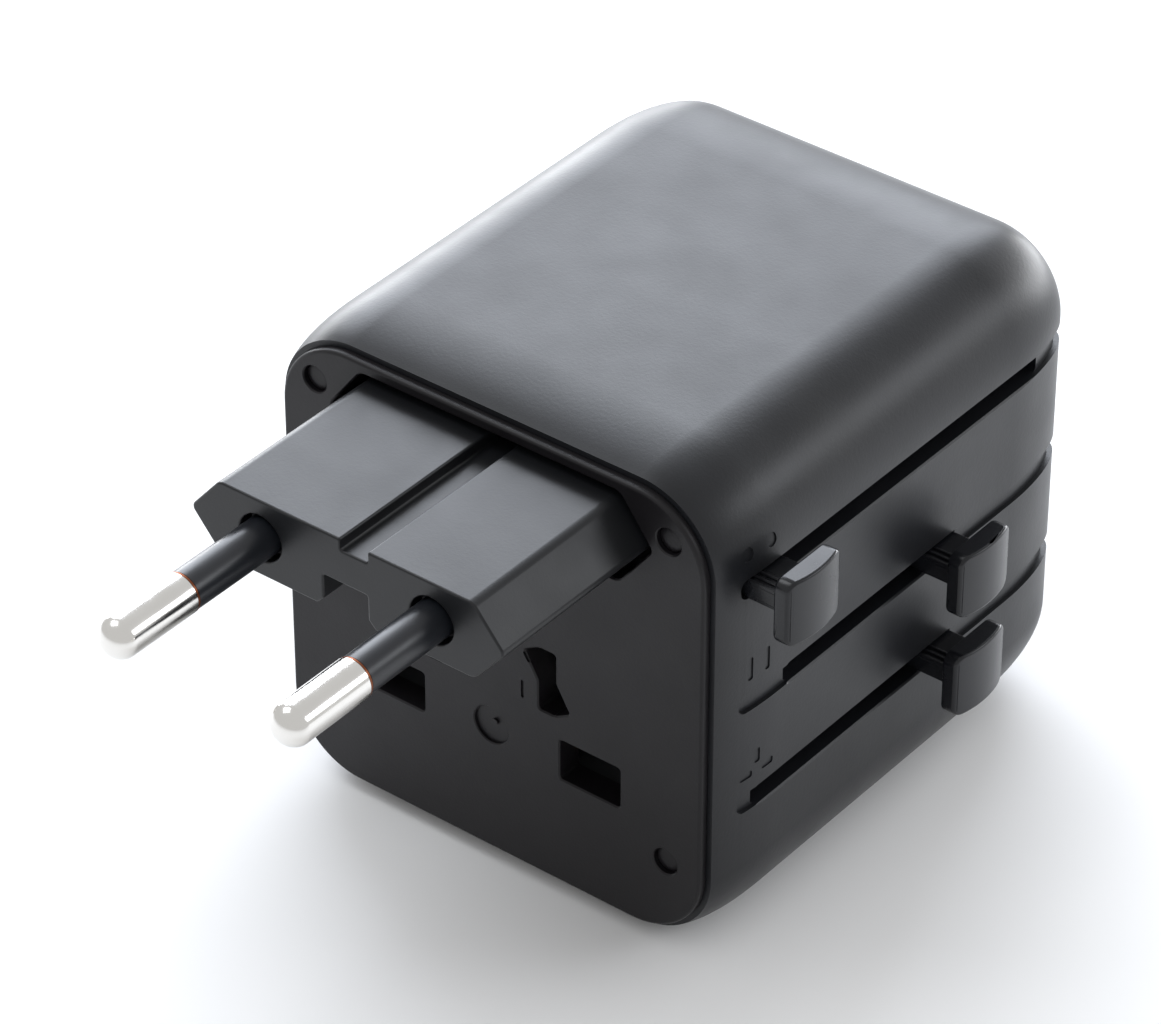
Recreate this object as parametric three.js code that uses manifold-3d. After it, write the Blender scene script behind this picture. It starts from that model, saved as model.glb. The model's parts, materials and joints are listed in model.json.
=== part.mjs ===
// A universal travel adapter, lying on its side. Millimetres, +Z up, z = 0 on the face it rests on.
// The plug face looks towards -Y, the socket face towards +Y, and the three sliders are on +X.
// The round-pin plug is out; the flat-blade and the square-pin plugs are in.
import * as THREE from "three";
import { mergeVertices } from "three/addons/utils/BufferGeometryUtils.js";
import Module from "manifold-3d";

const wasm = await Module();
wasm.setup();

// ---------------------------------------------------------------- housing sizes
const bodyWidth = 50;
const bodyHeight = 50.2;
const shellLength = 53.4;
const cornerRadius = 9.2;
const wall = 2.2;
const noseInset = 2.14; // the shell narrows to the plug face along part of an ellipse,
const noseLength = 9; // this long,
const noseTrim = 1.2; // with its tip cut off
const tailInset = 3.1; // and to the socket face along a whole quarter of one
const tailLength = 10.3;
const tailWall = 3.2;
const tailLip = 1.5;
// The face it rests on has a shallow recess in the shape of a cross, which leaves four low pads to stand on.
// The recess ends this far from the front and the rear of the shell, and the pads are this long.
const restRecess = { depth: 0.3, padInner: 13.6, padOuter: 16.2, front: 6.7, rear: 9.2, padLength: 5 };
const fit = 0.3; // clearance round pieces that slide or drop in
const snug = 0.12; // clearance round pieces that are pressed or screwed in
const touch = 0.05; // clearance between pieces that rest on each other

// ---------------------------------------------------------------- plug plate sizes
const plateProud = 0.95;
const plateStep = 0.55; // width of shell rim left showing round the plate
const plateSpigot = 1.8;
const plateFillet = 0.35;
const screwInsetX = 5.45; // corner screws, from the side, bottom and top of the body
const screwInsetLow = 9.9;
const screwInsetHigh = 5.6;
const screwHead = 1.2;
const screwShank = 0.65;
const screwReach = 8;
const bossRadius = 1.9;
const bossLength = 10;

// ---------------------------------------------------------------- plug standards
const ukPitch = 22.23; // square pins: line to neutral, and earth above them
const ukPin = { width: 6.35, height: 3.95, reach: 17.7 };
const ukEarth = { width: 4, height: 7.95, reach: 22.7 };
const usPitch = 12.7; // flat blades
const usBlade = { thickness: 1.55, height: 6.35, reach: 16.5 };
const bladeTurn = Math.PI / 6; // blades turn this far for the slanted pattern
const euPitch = 18.8; // round pins
const euPin = { radius: 2, sleeve: 1.9, core: 1.5, reach: 19.3, bare: 9.3 };

// ---------------------------------------------------------------- the three plugs
const ukZ = 15.55;
const earthZ = ukZ + ukPitch;
const usZ = 23.45;
const euZ = 42.8;
const euHalfHeight = 3.93;
const euFlat = 13.9; // half width of the flat top of the round-pin plug
const euTip = 17.25; // half width across its points
const euReach = 19;
const euInside = 10.2; // how much of the plug stays in the body when it is out
const euGap = 0.75; // clearance round it in the plug plate
const euGroove = { x: 1.05, width: 3, depth: 1.15 };
const euNotchGap = 0.45;
const socket = { radius: 2.3, depth: 1.5 };
const usSetback = 3.7; // how deep the tips sit behind the face when in
const ukSetback = 1.7;
const carriageGap = 0.4; // from the plug plate to a carriage pushed fully out
const usRotor = { radius: 4.4, thickness: 2.6 };
const usBaseDepth = 5;
const ukFrameDepth = 3.5;
const ukBeam = 3; // width of the frame that goes round the flat-blade carriage

// ---------------------------------------------------------------- sliders
const stem = { length: 5, thickness: 1.6 };
const tab = { length: 7.6, height: 6.7, thin: 1.5, thick: 2.25, gap: 3.3, corner: 0.9 };
const slotPlay = 0.23;
const grooveDepth = 0.4;
const grooveFront = 2.6; // from the front of the shell to the start of the shallow grooves
const press = 1.8; // how far a tab pushes in
const grip = 1.8; // how much of the stem is held by its carriage at rest
const arm = { halfHeight: 2.3, halfLength: 3.9 };
const guidePlate = 2.1;
const sliders = {
  eu: { z: 39.5, y: -20.8, travel: euReach + euPin.reach, forward: 0 },
  us: { z: 27.2, y: 5.25, travel: usBlade.reach + usSetback, forward: 1 },
  uk: { z: 16.2, y: 5.25, travel: ukEarth.reach + ukSetback, forward: 1 },
};

// ---------------------------------------------------------------- socket side and electronics
const shutterThickness = 1.6;
const socketSlot = { inner: 7.2, outer: 14.6, height: 5.2, corner: 1.2 };
const fuse = { x: 15.5, z: 33.3, radius: 2.6, length: 20, tube: 3.5 };
const fuseCover = { radius: 4.2, depth: 1.6 };
const usb = { y: 12.6, z: [22.9, 31.7], width: 13.1, height: 5.7, depth: 14, sheet: 0.35 };
const board = 1.6;
const floorThickness = 1.3;
const floorTop = 12.9;

// ---------------------------------------------------------------- positions that follow
const halfWidth = bodyWidth / 2;
const innerHalf = halfWidth - wall;
const frontY = -shellLength / 2;
const rearY = shellLength / 2;
const faceY = frontY - plateProud;
const plateInner = frontY + plateSpigot;
const cavityRear = rearY - tailWall;
const tipShare = 1 - noseTrim / noseLength;
const frontInset = noseInset * (1 - Math.sqrt(1 - tipShare ** 2));
const guideX = innerHalf - fit - guidePlate; // inner face of the slider guide
const rearFlange = cavityRear - 1.5;
const rearFace = rearY - 0.25;
const pocketX = guideX - fit - grip - press - fit; // bottom of the pocket a stem slides in

const black = { color: 0x26272b, roughness: 0.6, metalness: 0 };
const looks = {
  shell: black,
  plate: { color: 0x232326, roughness: 0.62, metalness: 0 },
  inner: { color: 0x3a3b3f, roughness: 0.7, metalness: 0 },
  sleeve: { color: 0x111114, roughness: 0.2, metalness: 0 },
  nickel: { color: 0xd8d6d0, roughness: 0.18, metalness: 1 },
  brass: { color: 0xc9a24f, roughness: 0.35, metalness: 1 },
  steel: { color: 0x9a9ca0, roughness: 0.35, metalness: 1 },
  laminate: { color: 0x1f5a38, roughness: 0.5, metalness: 0 },
  ferrite: { color: 0x2e2e30, roughness: 0.8, metalness: 0 },
  tape: { color: 0xd7b53c, roughness: 0.5, metalness: 0 },
  can: { color: 0x24324f, roughness: 0.35, metalness: 0 },
  ceramic: { color: 0xe8e4da, roughness: 0.5, metalness: 0 },
};

// ---------------------------------------------------------------- solids from geometries
const alongX = new THREE.Matrix4().makeBasis(
  new THREE.Vector3(0, 1, 0),
  new THREE.Vector3(0, 0, 1),
  new THREE.Vector3(1, 0, 0),
);
const alongY = new THREE.Matrix4().makeRotationX(Math.PI / 2);

// One geometry as a closed solid.
function solid(geometry) {
  geometry.deleteAttribute("normal");
  geometry.deleteAttribute("uv");
  const merged = mergeVertices(geometry, 1e-4);
  return new wasm.Manifold(
    new wasm.Mesh({
      numProp: 3,
      vertProperties: new Float32Array(merged.attributes.position.array),
      triVerts: new Uint32Array(merged.index.array),
    }),
  );
}

// A solid as a geometry that a mesh can show.
function geometryOf(shape) {
  const mesh = shape.getMesh();
  const geometry = new THREE.BufferGeometry();
  geometry.setAttribute("position", new THREE.BufferAttribute(mesh.vertProperties, 3));
  geometry.setIndex(new THREE.BufferAttribute(mesh.triVerts, 1));
  geometry.computeVertexNormals();
  return geometry;
}

const join = (...parts) => parts.reduce((sum, part) => sum.add(part));
const cut = (part, ...tools) => tools.reduce((left, tool) => left.subtract(tool), part);

function box(x0, x1, y0, y1, z0, z1) {
  const geometry = new THREE.BoxGeometry(x1 - x0, y1 - y0, z1 - z0);
  return solid(geometry.translate((x0 + x1) / 2, (y0 + y1) / 2, (z0 + z1) / 2));
}

function extruded(shape, depth, curveSegments) {
  return new THREE.ExtrudeGeometry(shape, { depth, curveSegments, bevelEnabled: false });
}

// A prism along Y from a shape drawn in X and Z.
function prismY(shape, y0, y1, curveSegments = 8) {
  return solid(extruded(shape, y1 - y0, curveSegments).applyMatrix4(alongY).translate(0, y1, 0));
}

// A prism along X from a shape drawn in Y and Z.
function prismX(shape, x0, x1, curveSegments = 8) {
  return solid(extruded(shape, x1 - x0, curveSegments).applyMatrix4(alongX).translate(x0, 0, 0));
}

// A prism along Z from a shape drawn in X and Y.
function prismZ(shape, z0, z1, curveSegments = 8) {
  return solid(extruded(shape, z1 - z0, curveSegments).translate(0, 0, z0));
}

function rodY(x, z, radius, y0, y1, sides = 24) {
  const geometry = new THREE.CylinderGeometry(radius, radius, y1 - y0, sides);
  return solid(geometry.translate(x, (y0 + y1) / 2, z));
}

function rodZ(x, y, radius, z0, z1, sides = 16) {
  const geometry = new THREE.CylinderGeometry(radius, radius, z1 - z0, sides);
  return solid(geometry.applyMatrix4(alongY).translate(x, y, (z0 + z1) / 2));
}

// A rectangle with round corners, given by its centre, size and corner radius.
function roundRect(a, b, width, height, radius) {
  const shape = new THREE.Shape();
  const right = a + width / 2 - radius;
  const left = a - width / 2 + radius;
  const top = b + height / 2 - radius;
  const bottom = b - height / 2 + radius;
  shape.absarc(right, bottom, radius, -Math.PI / 2, 0);
  shape.absarc(right, top, radius, 0, Math.PI / 2);
  shape.absarc(left, top, radius, Math.PI / 2, Math.PI);
  shape.absarc(left, bottom, radius, Math.PI, 1.5 * Math.PI);
  return shape;
}

function polygon(...points) {
  return new THREE.Shape(points.map(([a, b]) => new THREE.Vector2(a, b)));
}

// A polygon whose corners are rounded with short curves that start `reach` before each corner.
function softPolygon(points, reach) {
  const shape = new THREE.Shape();
  points.forEach((point, i) => {
    const corner = new THREE.Vector2(...point);
    const before = new THREE.Vector2(...points.at(i - 1));
    const after = new THREE.Vector2(...points[(i + 1) % points.length]);
    const start = corner.clone().add(before.sub(corner).setLength(reach));
    const end = corner.clone().add(after.sub(corner).setLength(reach));
    if (i) shape.lineTo(start.x, start.y);
    else shape.moveTo(start.x, start.y);
    shape.quadraticCurveTo(corner.x, corner.y, end.x, end.y);
  });
  return shape;
}

const mirrored = (part) => part.mirror([1, 0, 0]);

// ---------------------------------------------------------------- housing
// The section of the body, shrunk by an inset.
function section(inset) {
  const radius = Math.max(cornerRadius - inset, 0.8);
  return roundRect(0, bodyHeight / 2, bodyWidth - 2 * inset, bodyHeight - 2 * inset, radius);
}

// A bar along Y whose two ends narrow by `inset` over the length `taper`.
function narrowedBar(shape, inset, taper, y0, y1, bevelSegments) {
  const geometry = new THREE.ExtrudeGeometry(shape, {
    depth: y1 - y0 - 2 * taper,
    bevelThickness: taper,
    bevelSize: inset,
    bevelOffset: -inset,
    bevelSegments,
    curveSegments: 8,
  });
  return solid(geometry.applyMatrix4(alongY).translate(0, y1 - taper, 0));
}

function slab(y0, y1) {
  return box(-2 * bodyWidth, 2 * bodyWidth, y0, y1, -bodyHeight, 2 * bodyHeight);
}

// The full outside of the shell, shrunk by an inset.
function hull(inset) {
  const nose = narrowedBar(section(inset), noseInset, noseLength, frontY - noseTrim, shellLength, 6);
  const tail = narrowedBar(section(inset), tailInset, tailLength, -shellLength, rearY - inset, 7);
  return join(nose.intersect(slab(frontY, 0)), tail.intersect(slab(0, rearY)));
}

// The stretch of Y that a slider's stem sweeps.
function sweep({ y, travel, forward }) {
  const reach = stem.length / 2 + fit;
  return forward ? [y - travel - reach, y + reach] : [y - reach, y + travel + reach];
}

function slot(slider, x0, x1) {
  const [y0, y1] = sweep(slider);
  const height = stem.thickness + 2 * slotPlay;
  return prismX(roundRect((y0 + y1) / 2, slider.z, y1 - y0, height, 0.5), x0, x1, 3);
}

// The shallow groove that runs on from a slot, over the rounded rear edge.
function groove({ z }, core) {
  const height = stem.thickness + 2 * slotPlay;
  const y0 = frontY + grooveFront;
  const y1 = rearY + 10;
  const outline = roundRect((y0 + y1) / 2, z, y1 - y0, height, 0.9);
  return prismX(outline, halfWidth / 2, halfWidth + 1).subtract(core);
}

const cornerScrews = ["lower_left", "lower_right", "upper_left", "upper_right"].map((name) => ({
  name,
  x: (halfWidth - screwInsetX) * (name.endsWith("left") ? -1 : 1),
  z: name.startsWith("lower") ? screwInsetLow : bodyHeight - screwInsetHigh,
}));

function boss({ x, z }) {
  const y0 = plateInner + fit;
  const y1 = y0 + bossLength;
  const side = Math.sign(x);
  const [x0, x1] = [x, side * (halfWidth - wall / 2)].sort((a, b) => a - b);
  return join(
    rodY(x, z, bossRadius, y0, y1, 16),
    box(x0, x1, y0, y1, z - bossRadius * 0.8, z + bossRadius * 0.8),
  );
}

const boardPosts = [
  [-15, -8],
  [15, -8],
  [-15, 8],
  [15, 8],
];
const boardBottom = wall + 1.4;

function usbHole(z) {
  const shape = roundRect(usb.y, z, usb.width + 2 * fit, usb.height + 2 * fit, 0.5);
  return prismX(shape, -halfWidth - 1, -innerHalf + 1, 3);
}

function restHollow() {
  const { depth, padInner, padOuter, padLength } = restRecess;
  const y0 = frontY + restRecess.front;
  const y1 = rearY - restRecess.rear;
  return join(
    box(-padInner, padInner, y0, y1, -1, depth),
    box(-padOuter, padOuter, y0 + padLength, y1 - padLength, -1, depth),
  );
}

function makeShell() {
  const outside = hull(0);
  const core = hull(grooveDepth);
  const cavity = prismY(section(wall), frontY - 1, cavityRear);
  const opening = prismY(section(tailInset + tailLip), cavityRear - 1, rearY + 1);
  const bosses = join(...cornerScrews.map(boss)).intersect(outside);
  const posts = boardPosts.map(([x, y]) => rodZ(x, y, 1.6, wall - 0.4, boardBottom - touch));
  const holes = cornerScrews.map(({ x, z }) => rodY(x, z, screwShank + snug / 2, frontY, 0, 12));
  const openings = [
    ...Object.values(sliders).map((slider) => slot(slider, innerHalf - 1, halfWidth + 1)),
    ...Object.values(sliders).map((slider) => groove(slider, core)),
    ...usb.z.map(usbHole),
    restHollow(),
  ];
  const body = cut(outside, cavity, opening, ...openings);
  return cut(join(body, bosses, ...posts), ...holes);
}

// ---------------------------------------------------------------- round-pin plug section
// Half-height, flat and tip grow together, so the same outline serves the plug and its opening.
function euOutline(gap) {
  const top = euZ + euHalfHeight + gap;
  const bottom = euZ - euHalfHeight - gap;
  const flat = euFlat + gap / 2;
  const tip = euTip + gap;
  const points = [
    [-flat, bottom],
    [flat, bottom],
    [tip, euZ - 0.2],
    [tip, euZ + 0.2],
    [flat, top],
    [-flat, top],
    [-tip, euZ + 0.2],
    [-tip, euZ - 0.2],
  ];
  return softPolygon(points, 0.19);
}

// A blade slot swept through the whole turn of its blade, on the +X side.
function bladeSweep(x, z, y0, y1, gap) {
  const steps = 4;
  const cuts = [];
  for (let i = 0; i <= steps; i++) {
    const shape = roundRect(0, 0, usBlade.thickness + 2 * gap, usBlade.height + 2 * gap, 0.3);
    const geometry = extruded(shape, y1 - y0, 2).applyMatrix4(alongY);
    geometry.rotateY(-(bladeTurn * i) / steps);
    cuts.push(solid(geometry.translate(x, y1, z)));
  }
  return join(...cuts);
}

function bothSides(part) {
  return join(part, mirrored(part));
}

function makePlugPlate() {
  const outline = section(frontInset + plateStep);
  const flange = narrowedBar(outline, plateFillet, plateFillet, faceY, faceY + 10, 3);
  const spigot = prismY(section(wall + snug), frontY - plateProud / 2, plateInner);
  const solidPlate = join(flange.intersect(slab(faceY - 1, frontY - touch)), spigot);
  const y0 = faceY - 1;
  const y1 = plateInner + 1;
  const pinSlot = roundRect(ukPitch / 2, ukZ, ukPin.width + 0.4, ukPin.height + 0.4, 0.25);
  const earthSlot = roundRect(0, earthZ, ukEarth.width + 0.5, ukEarth.height + 0.5, 0.25);
  const openings = [
    prismY(euOutline(euGap), y0, y1),
    prismY(earthSlot, y0, y1, 2),
    bothSides(prismY(pinSlot, y0, y1, 2)),
    bothSides(bladeSweep(usPitch / 2, usZ, y0, y1, 0.2)),
    rodY(0, ukZ, 1.9, y0, faceY + 0.5, 32),
  ];
  for (const { x, z } of cornerScrews) {
    openings.push(rodY(x, z, screwHead + snug, y0, faceY + 2));
    openings.push(rodY(x, z, screwShank + snug, y0, y1, 16));
  }
  return cut(solidPlate, ...openings);
}

function makeScrew({ x, z }) {
  const headFront = faceY + 1.15;
  const head = rodY(x, z, screwHead, headFront, faceY + 2 - touch);
  const shank = rodY(x, z, screwShank, headFront + 0.3, frontY + screwReach, 12);
  const driver = join(
    box(x - 0.7, x + 0.7, headFront - 1, headFront + 0.4, z - 0.18, z + 0.18),
    box(x - 0.18, x + 0.18, headFront - 1, headFront + 0.4, z - 0.7, z + 0.7),
  );
  return cut(join(head, shank), driver);
}

function makeScrewCover({ x, z }) {
  return rodY(x, z, screwHead + touch, faceY + 0.45, faceY + 1.15 - touch);
}

// ---------------------------------------------------------------- inner frame
// The floor over the electronics, and the wall beside the square-pin carriage.
function makeGuideFrame() {
  const half = innerHalf - fit;
  const y0 = plateInner + fit;
  const y1 = rearFlange - shutterThickness - 0.6;
  const notch = halfWidth - screwInsetX - bossRadius - fit;
  const notchY = y0 + bossLength + fit;
  const floor = polygon([-notch, y0], [notch, y0], [notch, notchY], [half, notchY],
    [half, y1], [-half, y1], [-half, notchY], [-notch, notchY]);
  const wallX = -(ukPitch / 2 + ukPin.width / 2 + 0.2 + ukBeam + fit + 0.1);
  const wallEnd = plateInner + carriageGap + sliders.uk.travel + ukFrameDepth + fit;
  const wallTop = euZ - euHalfHeight - 0.9;
  const side = box(wallX - 1.4, wallX, notchY, wallEnd, floorTop - 0.5, wallTop);
  const ribs = [notchY + 0.6, (notchY + wallEnd) / 2, wallEnd - 0.6].map((y) =>
    box(-half, wallX - 0.7, y - 0.6, y + 0.6, floorTop - 0.5, wallTop),
  );
  const grooves = bothSides(box(busX - busWidth / 2 - snug, busX + busWidth / 2 + snug,
    busFront - snug, busRear + snug, floorTop - busDepth - touch, floorTop + 1));
  return cut(join(prismZ(floor, floorTop - floorThickness, floorTop), side, ...ribs), grooves);
}

function makeSliderGuide() {
  const z0 = floorTop + fit;
  const z1 = sliders.eu.z + arm.halfHeight + 0.5;
  const y0 = plateInner + fit;
  const plate = box(guideX, guideX + guidePlate, y0, rearFlange - fit, z0, z1);
  return cut(plate, ...Object.values(sliders).map((slider) => slot(slider, guideX - 1, innerHalf)));
}

// ---------------------------------------------------------------- sliders
// A thumb tab: flat towards the body, bowed outwards, on a flat stem that passes the slot.
function makeTab({ z, y }) {
  const x0 = halfWidth + tab.gap;
  const half = tab.length / 2;
  const profile = new THREE.Shape();
  profile.moveTo(x0, y - half);
  profile.lineTo(x0 + tab.thin - 0.5, y - half);
  profile.quadraticCurveTo(x0 + tab.thin, y - half, x0 + tab.thin + 0.05, y - half + 0.5);
  profile.quadraticCurveTo(x0 + 2 * tab.thick - tab.thin, y, x0 + tab.thin + 0.05, y + half - 0.5);
  profile.quadraticCurveTo(x0 + tab.thin, y + half, x0 + tab.thin - 0.5, y + half);
  profile.lineTo(x0, y + half);
  const head = prismZ(profile, z - tab.height / 2, z + tab.height / 2, 10);
  const face = prismX(roundRect(y, z, tab.length, tab.height, tab.corner), x0 - 1, x0 + 5, 4);
  const shank = box(guideX - fit - grip, x0 + 0.5, y - stem.length / 2, y + stem.length / 2,
    z - stem.thickness / 2, z + stem.thickness / 2);
  return join(head.intersect(face), shank);
}

// The block on a carriage that holds the stem, with the pocket it is pushed into.
function armBlock({ z, y }, x0) {
  const y0 = y - arm.halfLength;
  const y1 = y + arm.halfLength;
  return box(x0, guideX - fit, y0, y1, z - arm.halfHeight, z + arm.halfHeight);
}

function armPocket({ z, y }) {
  const halfLength = stem.length / 2 + snug;
  const halfHeight = stem.thickness / 2 + snug;
  return box(pocketX, guideX + 1, y - halfLength, y + halfLength, z - halfHeight, z + halfHeight);
}

// ---------------------------------------------------------------- round-pin plug
function makeEuBlock() {
  const front = faceY - euReach;
  const rear = faceY + euInside;
  const { x, width, depth } = euGroove;
  const top = euZ + euHalfHeight;
  const notchHalf = ukEarth.width / 2 + euNotchGap;
  const notchTop = earthZ + ukEarth.height / 2 + 0.35;
  const notch = polygon([-notchHalf - 0.7, 0], [notchHalf + 0.7, 0],
    [notchHalf + 0.7, euZ - euHalfHeight], [notchHalf, euZ - euHalfHeight + 0.7],
    [notchHalf, notchTop], [-notchHalf, notchTop], [-notchHalf, euZ - euHalfHeight + 0.7],
    [-notchHalf - 0.7, euZ - euHalfHeight]);
  const pinHole = join(
    rodY(euPitch / 2, euZ, socket.radius, front - 1, front + socket.depth, 32),
    rodY(euPitch / 2, euZ, euPin.sleeve + touch, front, front + 4, 24),
    rodY(euPitch / 2, euZ, euPin.core + touch, front, front + 9, 24),
  );
  const armInner = euTip - 4;
  const blank = join(prismY(euOutline(0), front, rear, 4), armBlock(sliders.eu, armInner));
  return cut(
    blank,
    box(x - width / 2, x + width / 2, front - 1, rear + 1, top - depth, top + 1),
    prismY(notch, front - 1, rear + 5),
    bothSides(pinHole),
    armPocket(sliders.eu),
  );
}

// A round pin: domed bare tip, a thinner core that runs under the sleeve and into the plug.
function makeEuPin(side) {
  const front = faceY - euReach;
  const tip = front - euPin.reach;
  const dome = 1.7;
  const points = [new THREE.Vector2(0, tip)];
  for (let i = 1; i <= 6; i++) {
    const angle = (i / 6) * (Math.PI / 2);
    points.push(new THREE.Vector2(euPin.radius * Math.sin(angle), tip + dome * (1 - Math.cos(angle))));
  }
  points.push(new THREE.Vector2(euPin.radius, tip + euPin.bare));
  points.push(new THREE.Vector2(euPin.core, tip + euPin.bare));
  points.push(new THREE.Vector2(euPin.core, front + 8.5));
  points.push(new THREE.Vector2(0, front + 8.5));
  return solid(new THREE.LatheGeometry(points, 24).translate((side * euPitch) / 2, 0, euZ));
}

function makeEuSleeve(side) {
  const front = faceY - euReach;
  const x = (side * euPitch) / 2;
  const y0 = front - euPin.reach + euPin.bare + touch;
  const tube = rodY(x, euZ, euPin.sleeve, y0, front + 4 - touch);
  return tube.subtract(rodY(x, euZ, euPin.core + touch / 2, y0 - 1, front + 5));
}

// ---------------------------------------------------------------- flat-blade plug
const usFront = plateInner + carriageGap + sliders.us.travel;

function makeUsBase() {
  const halfX = usPitch / 2 + usRotor.radius + 1.2;
  const z0 = usZ - usRotor.radius - 0.25;
  const z1 = sliders.us.z + arm.halfHeight;
  const blank = join(
    box(-halfX, halfX, usFront, usFront + usBaseDepth, z0, usZ + usRotor.radius + 0.3),
    box(halfX - 4, guideX - fit, usFront, sliders.us.y + arm.halfLength, z1 - 2 * arm.halfHeight, z1),
  );
  const seatEnd = usFront + usRotor.thickness + touch;
  const seat = rodY(usPitch / 2, usZ, usRotor.radius + fit / 2, usFront - 1, seatEnd, 32);
  return cut(blank, bothSides(seat), armPocket(sliders.us));
}

function makeRotor(side) {
  const x = (side * usPitch) / 2;
  const disc = rodY(x, usZ, usRotor.radius, usFront, usFront + usRotor.thickness, 32);
  const halfT = usBlade.thickness / 2 + touch;
  const halfH = usBlade.height / 2 + touch;
  return disc.subtract(
    box(x - halfT, x + halfT, usFront - 1, usFront + usRotor.thickness - 0.5, usZ - halfH, usZ + halfH),
  );
}

function makeBlade(side) {
  const x = (side * usPitch) / 2;
  const tip = faceY + usSetback;
  const rear = usFront + usRotor.thickness - 0.55;
  const half = usBlade.height / 2;
  const outline = softPolygon([[tip, usZ - half + 0.9], [tip + 1.1, usZ - half], [rear, usZ - half],
    [rear, usZ + half], [tip + 1.1, usZ + half], [tip, usZ + half - 0.9]], 0.3);
  return prismX(outline, x - usBlade.thickness / 2, x + usBlade.thickness / 2, 2);
}

// ---------------------------------------------------------------- square-pin plug
const ukFront = plateInner + carriageGap + sliders.uk.travel;

// The carriage goes round the flat-blade one: a bar under it, a post on the left, a bar above.
function makeUkFrame() {
  const y1 = ukFront + ukFrameDepth;
  const pinEdge = ukPitch / 2 + ukPin.width / 2 + 0.2;
  const postX = -pinEdge - ukBeam;
  const z0 = floorTop + fit;
  const z1 = ukZ + ukPin.height / 2 + 0.6;
  const topZ = euZ - euHalfHeight - 0.55;
  const armX = socketSlot.outer + 0.3;
  const blank = join(
    box(postX, armX + 1, ukFront, y1, z0, z1),
    box(postX, -pinEdge, ukFront, y1, z0, topZ),
    box(postX, ukEarth.width / 2 + 0.2, ukFront, y1, topZ - 4.2, topZ),
    box(armX, guideX - fit, ukFront, sliders.uk.y + arm.halfLength,
      sliders.uk.z - arm.halfHeight, sliders.uk.z + arm.halfHeight),
  );
  const tang = box(ukPitch / 2 - 2.2, ukPitch / 2 + 2.2, ukFront - 1, y1 - 0.8, ukZ - 1.25, ukZ + 1.25);
  const earthTang = box(-1.2, 1.2, ukFront - 1, y1 - 0.8, topZ - 3.2, topZ - 1);
  return cut(blank, bothSides(tang), earthTang, armPocket(sliders.uk));
}

// A square pin whose tip is bevelled on all four sides.
function squarePin(x, z, width, height, tip, root) {
  const w = width / 2;
  const h = height / 2;
  const shape = polygon([x - w, z - h], [x + w, z - h], [x + w, z + h], [x - w, z + h]);
  const pin = narrowedBar(shape, 0.7, 0.8, tip, root + 5, 2);
  return pin.intersect(slab(tip - 1, root));
}

function makeUkPin(side) {
  const x = (side * ukPitch) / 2;
  const tip = faceY - ukPin.reach + sliders.uk.travel;
  const root = ukFront - touch;
  const tang = box(x - 2.1, x + 2.1, root - 0.5, ukFront + ukFrameDepth - 0.9, ukZ - 1.15, ukZ + 1.15);
  return join(squarePin(x, ukZ, ukPin.width, ukPin.height, tip, root), tang);
}

function makeEarthPin() {
  const topZ = euZ - euHalfHeight - 0.55;
  const tip = faceY + ukSetback;
  const root = ukFront - touch;
  const tang = box(-1.1, 1.1, root - 0.5, ukFront + ukFrameDepth - 0.9, topZ - 3.1, topZ - 1.1);
  return join(squarePin(0, earthZ, ukEarth.width, ukEarth.height, tip, root), tang);
}

// ---------------------------------------------------------------- socket
const shutterY = rearFlange - fit / 2 - shutterThickness;
const shutterTop = ukZ + usBlade.height / 2 + 0.75;
const springY = shutterY - 0.7;
const springTop = earthZ - ukEarth.height / 2 - 1.8;
const ledge = { half: 2.6, depth: 2.5, thickness: 1.5 };

function makeRearPlate() {
  const flange = prismY(section(wall + fit), rearFlange, cavityRear - touch);
  const spigot = narrowedBar(section(tailInset + tailLip + snug), 0.3, 0.3, rearY - 10, rearFace, 2);
  const railX = socketSlot.outer + 0.9;
  const solidPlate = join(
    flange,
    spigot.intersect(slab(cavityRear - 0.5, rearY)),
    rodY(fuse.x, fuse.z, fuse.tube, cavityRear - fuse.length - 0.9, cavityRear, 24),
    bothSides(box(railX, railX + 1.2, shutterY, rearFlange + 0.5, shutterTop - 7.7, shutterTop + 7)),
    box(-ledge.half, ledge.half, shutterY - ledge.depth, rearFlange + 0.5, springTop, springTop + 1.2),
  );
  const { inner, outer, height, corner } = socketSlot;
  const y0 = rearFlange - 1;
  const wide = roundRect((inner + outer) / 2, ukZ, outer - inner, height, corner);
  const earth = roundRect(0, earthZ, ukEarth.width + 0.8, ukEarth.height + 0.8, 0.4);
  return cut(
    solidPlate,
    bothSides(prismY(wide, y0, rearY + 1, 4)),
    bothSides(bladeSweep(usPitch / 2, ukZ, y0, rearY + 1, 0.25)),
    prismY(earth, y0, rearY + 1, 2),
    rodY(fuse.x, fuse.z, fuse.radius + snug, cavityRear - fuse.length - 0.4, rearY + 1, 24),
    rodY(fuse.x, fuse.z, fuseCover.radius + snug, rearFace - fuseCover.depth, rearY + 1, 32),
  );
}

function makeShutter() {
  const half = socketSlot.outer + 0.6;
  const z0 = shutterTop - usBlade.height - 1.05;
  const ledgeBottom = shutterTop - ledge.thickness;
  return join(
    box(-half, half, shutterY, shutterY + shutterThickness, z0, shutterTop),
    box(-ledge.half, ledge.half, shutterY - ledge.depth, shutterY + 0.5, ledgeBottom, shutterTop),
  );
}

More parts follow.
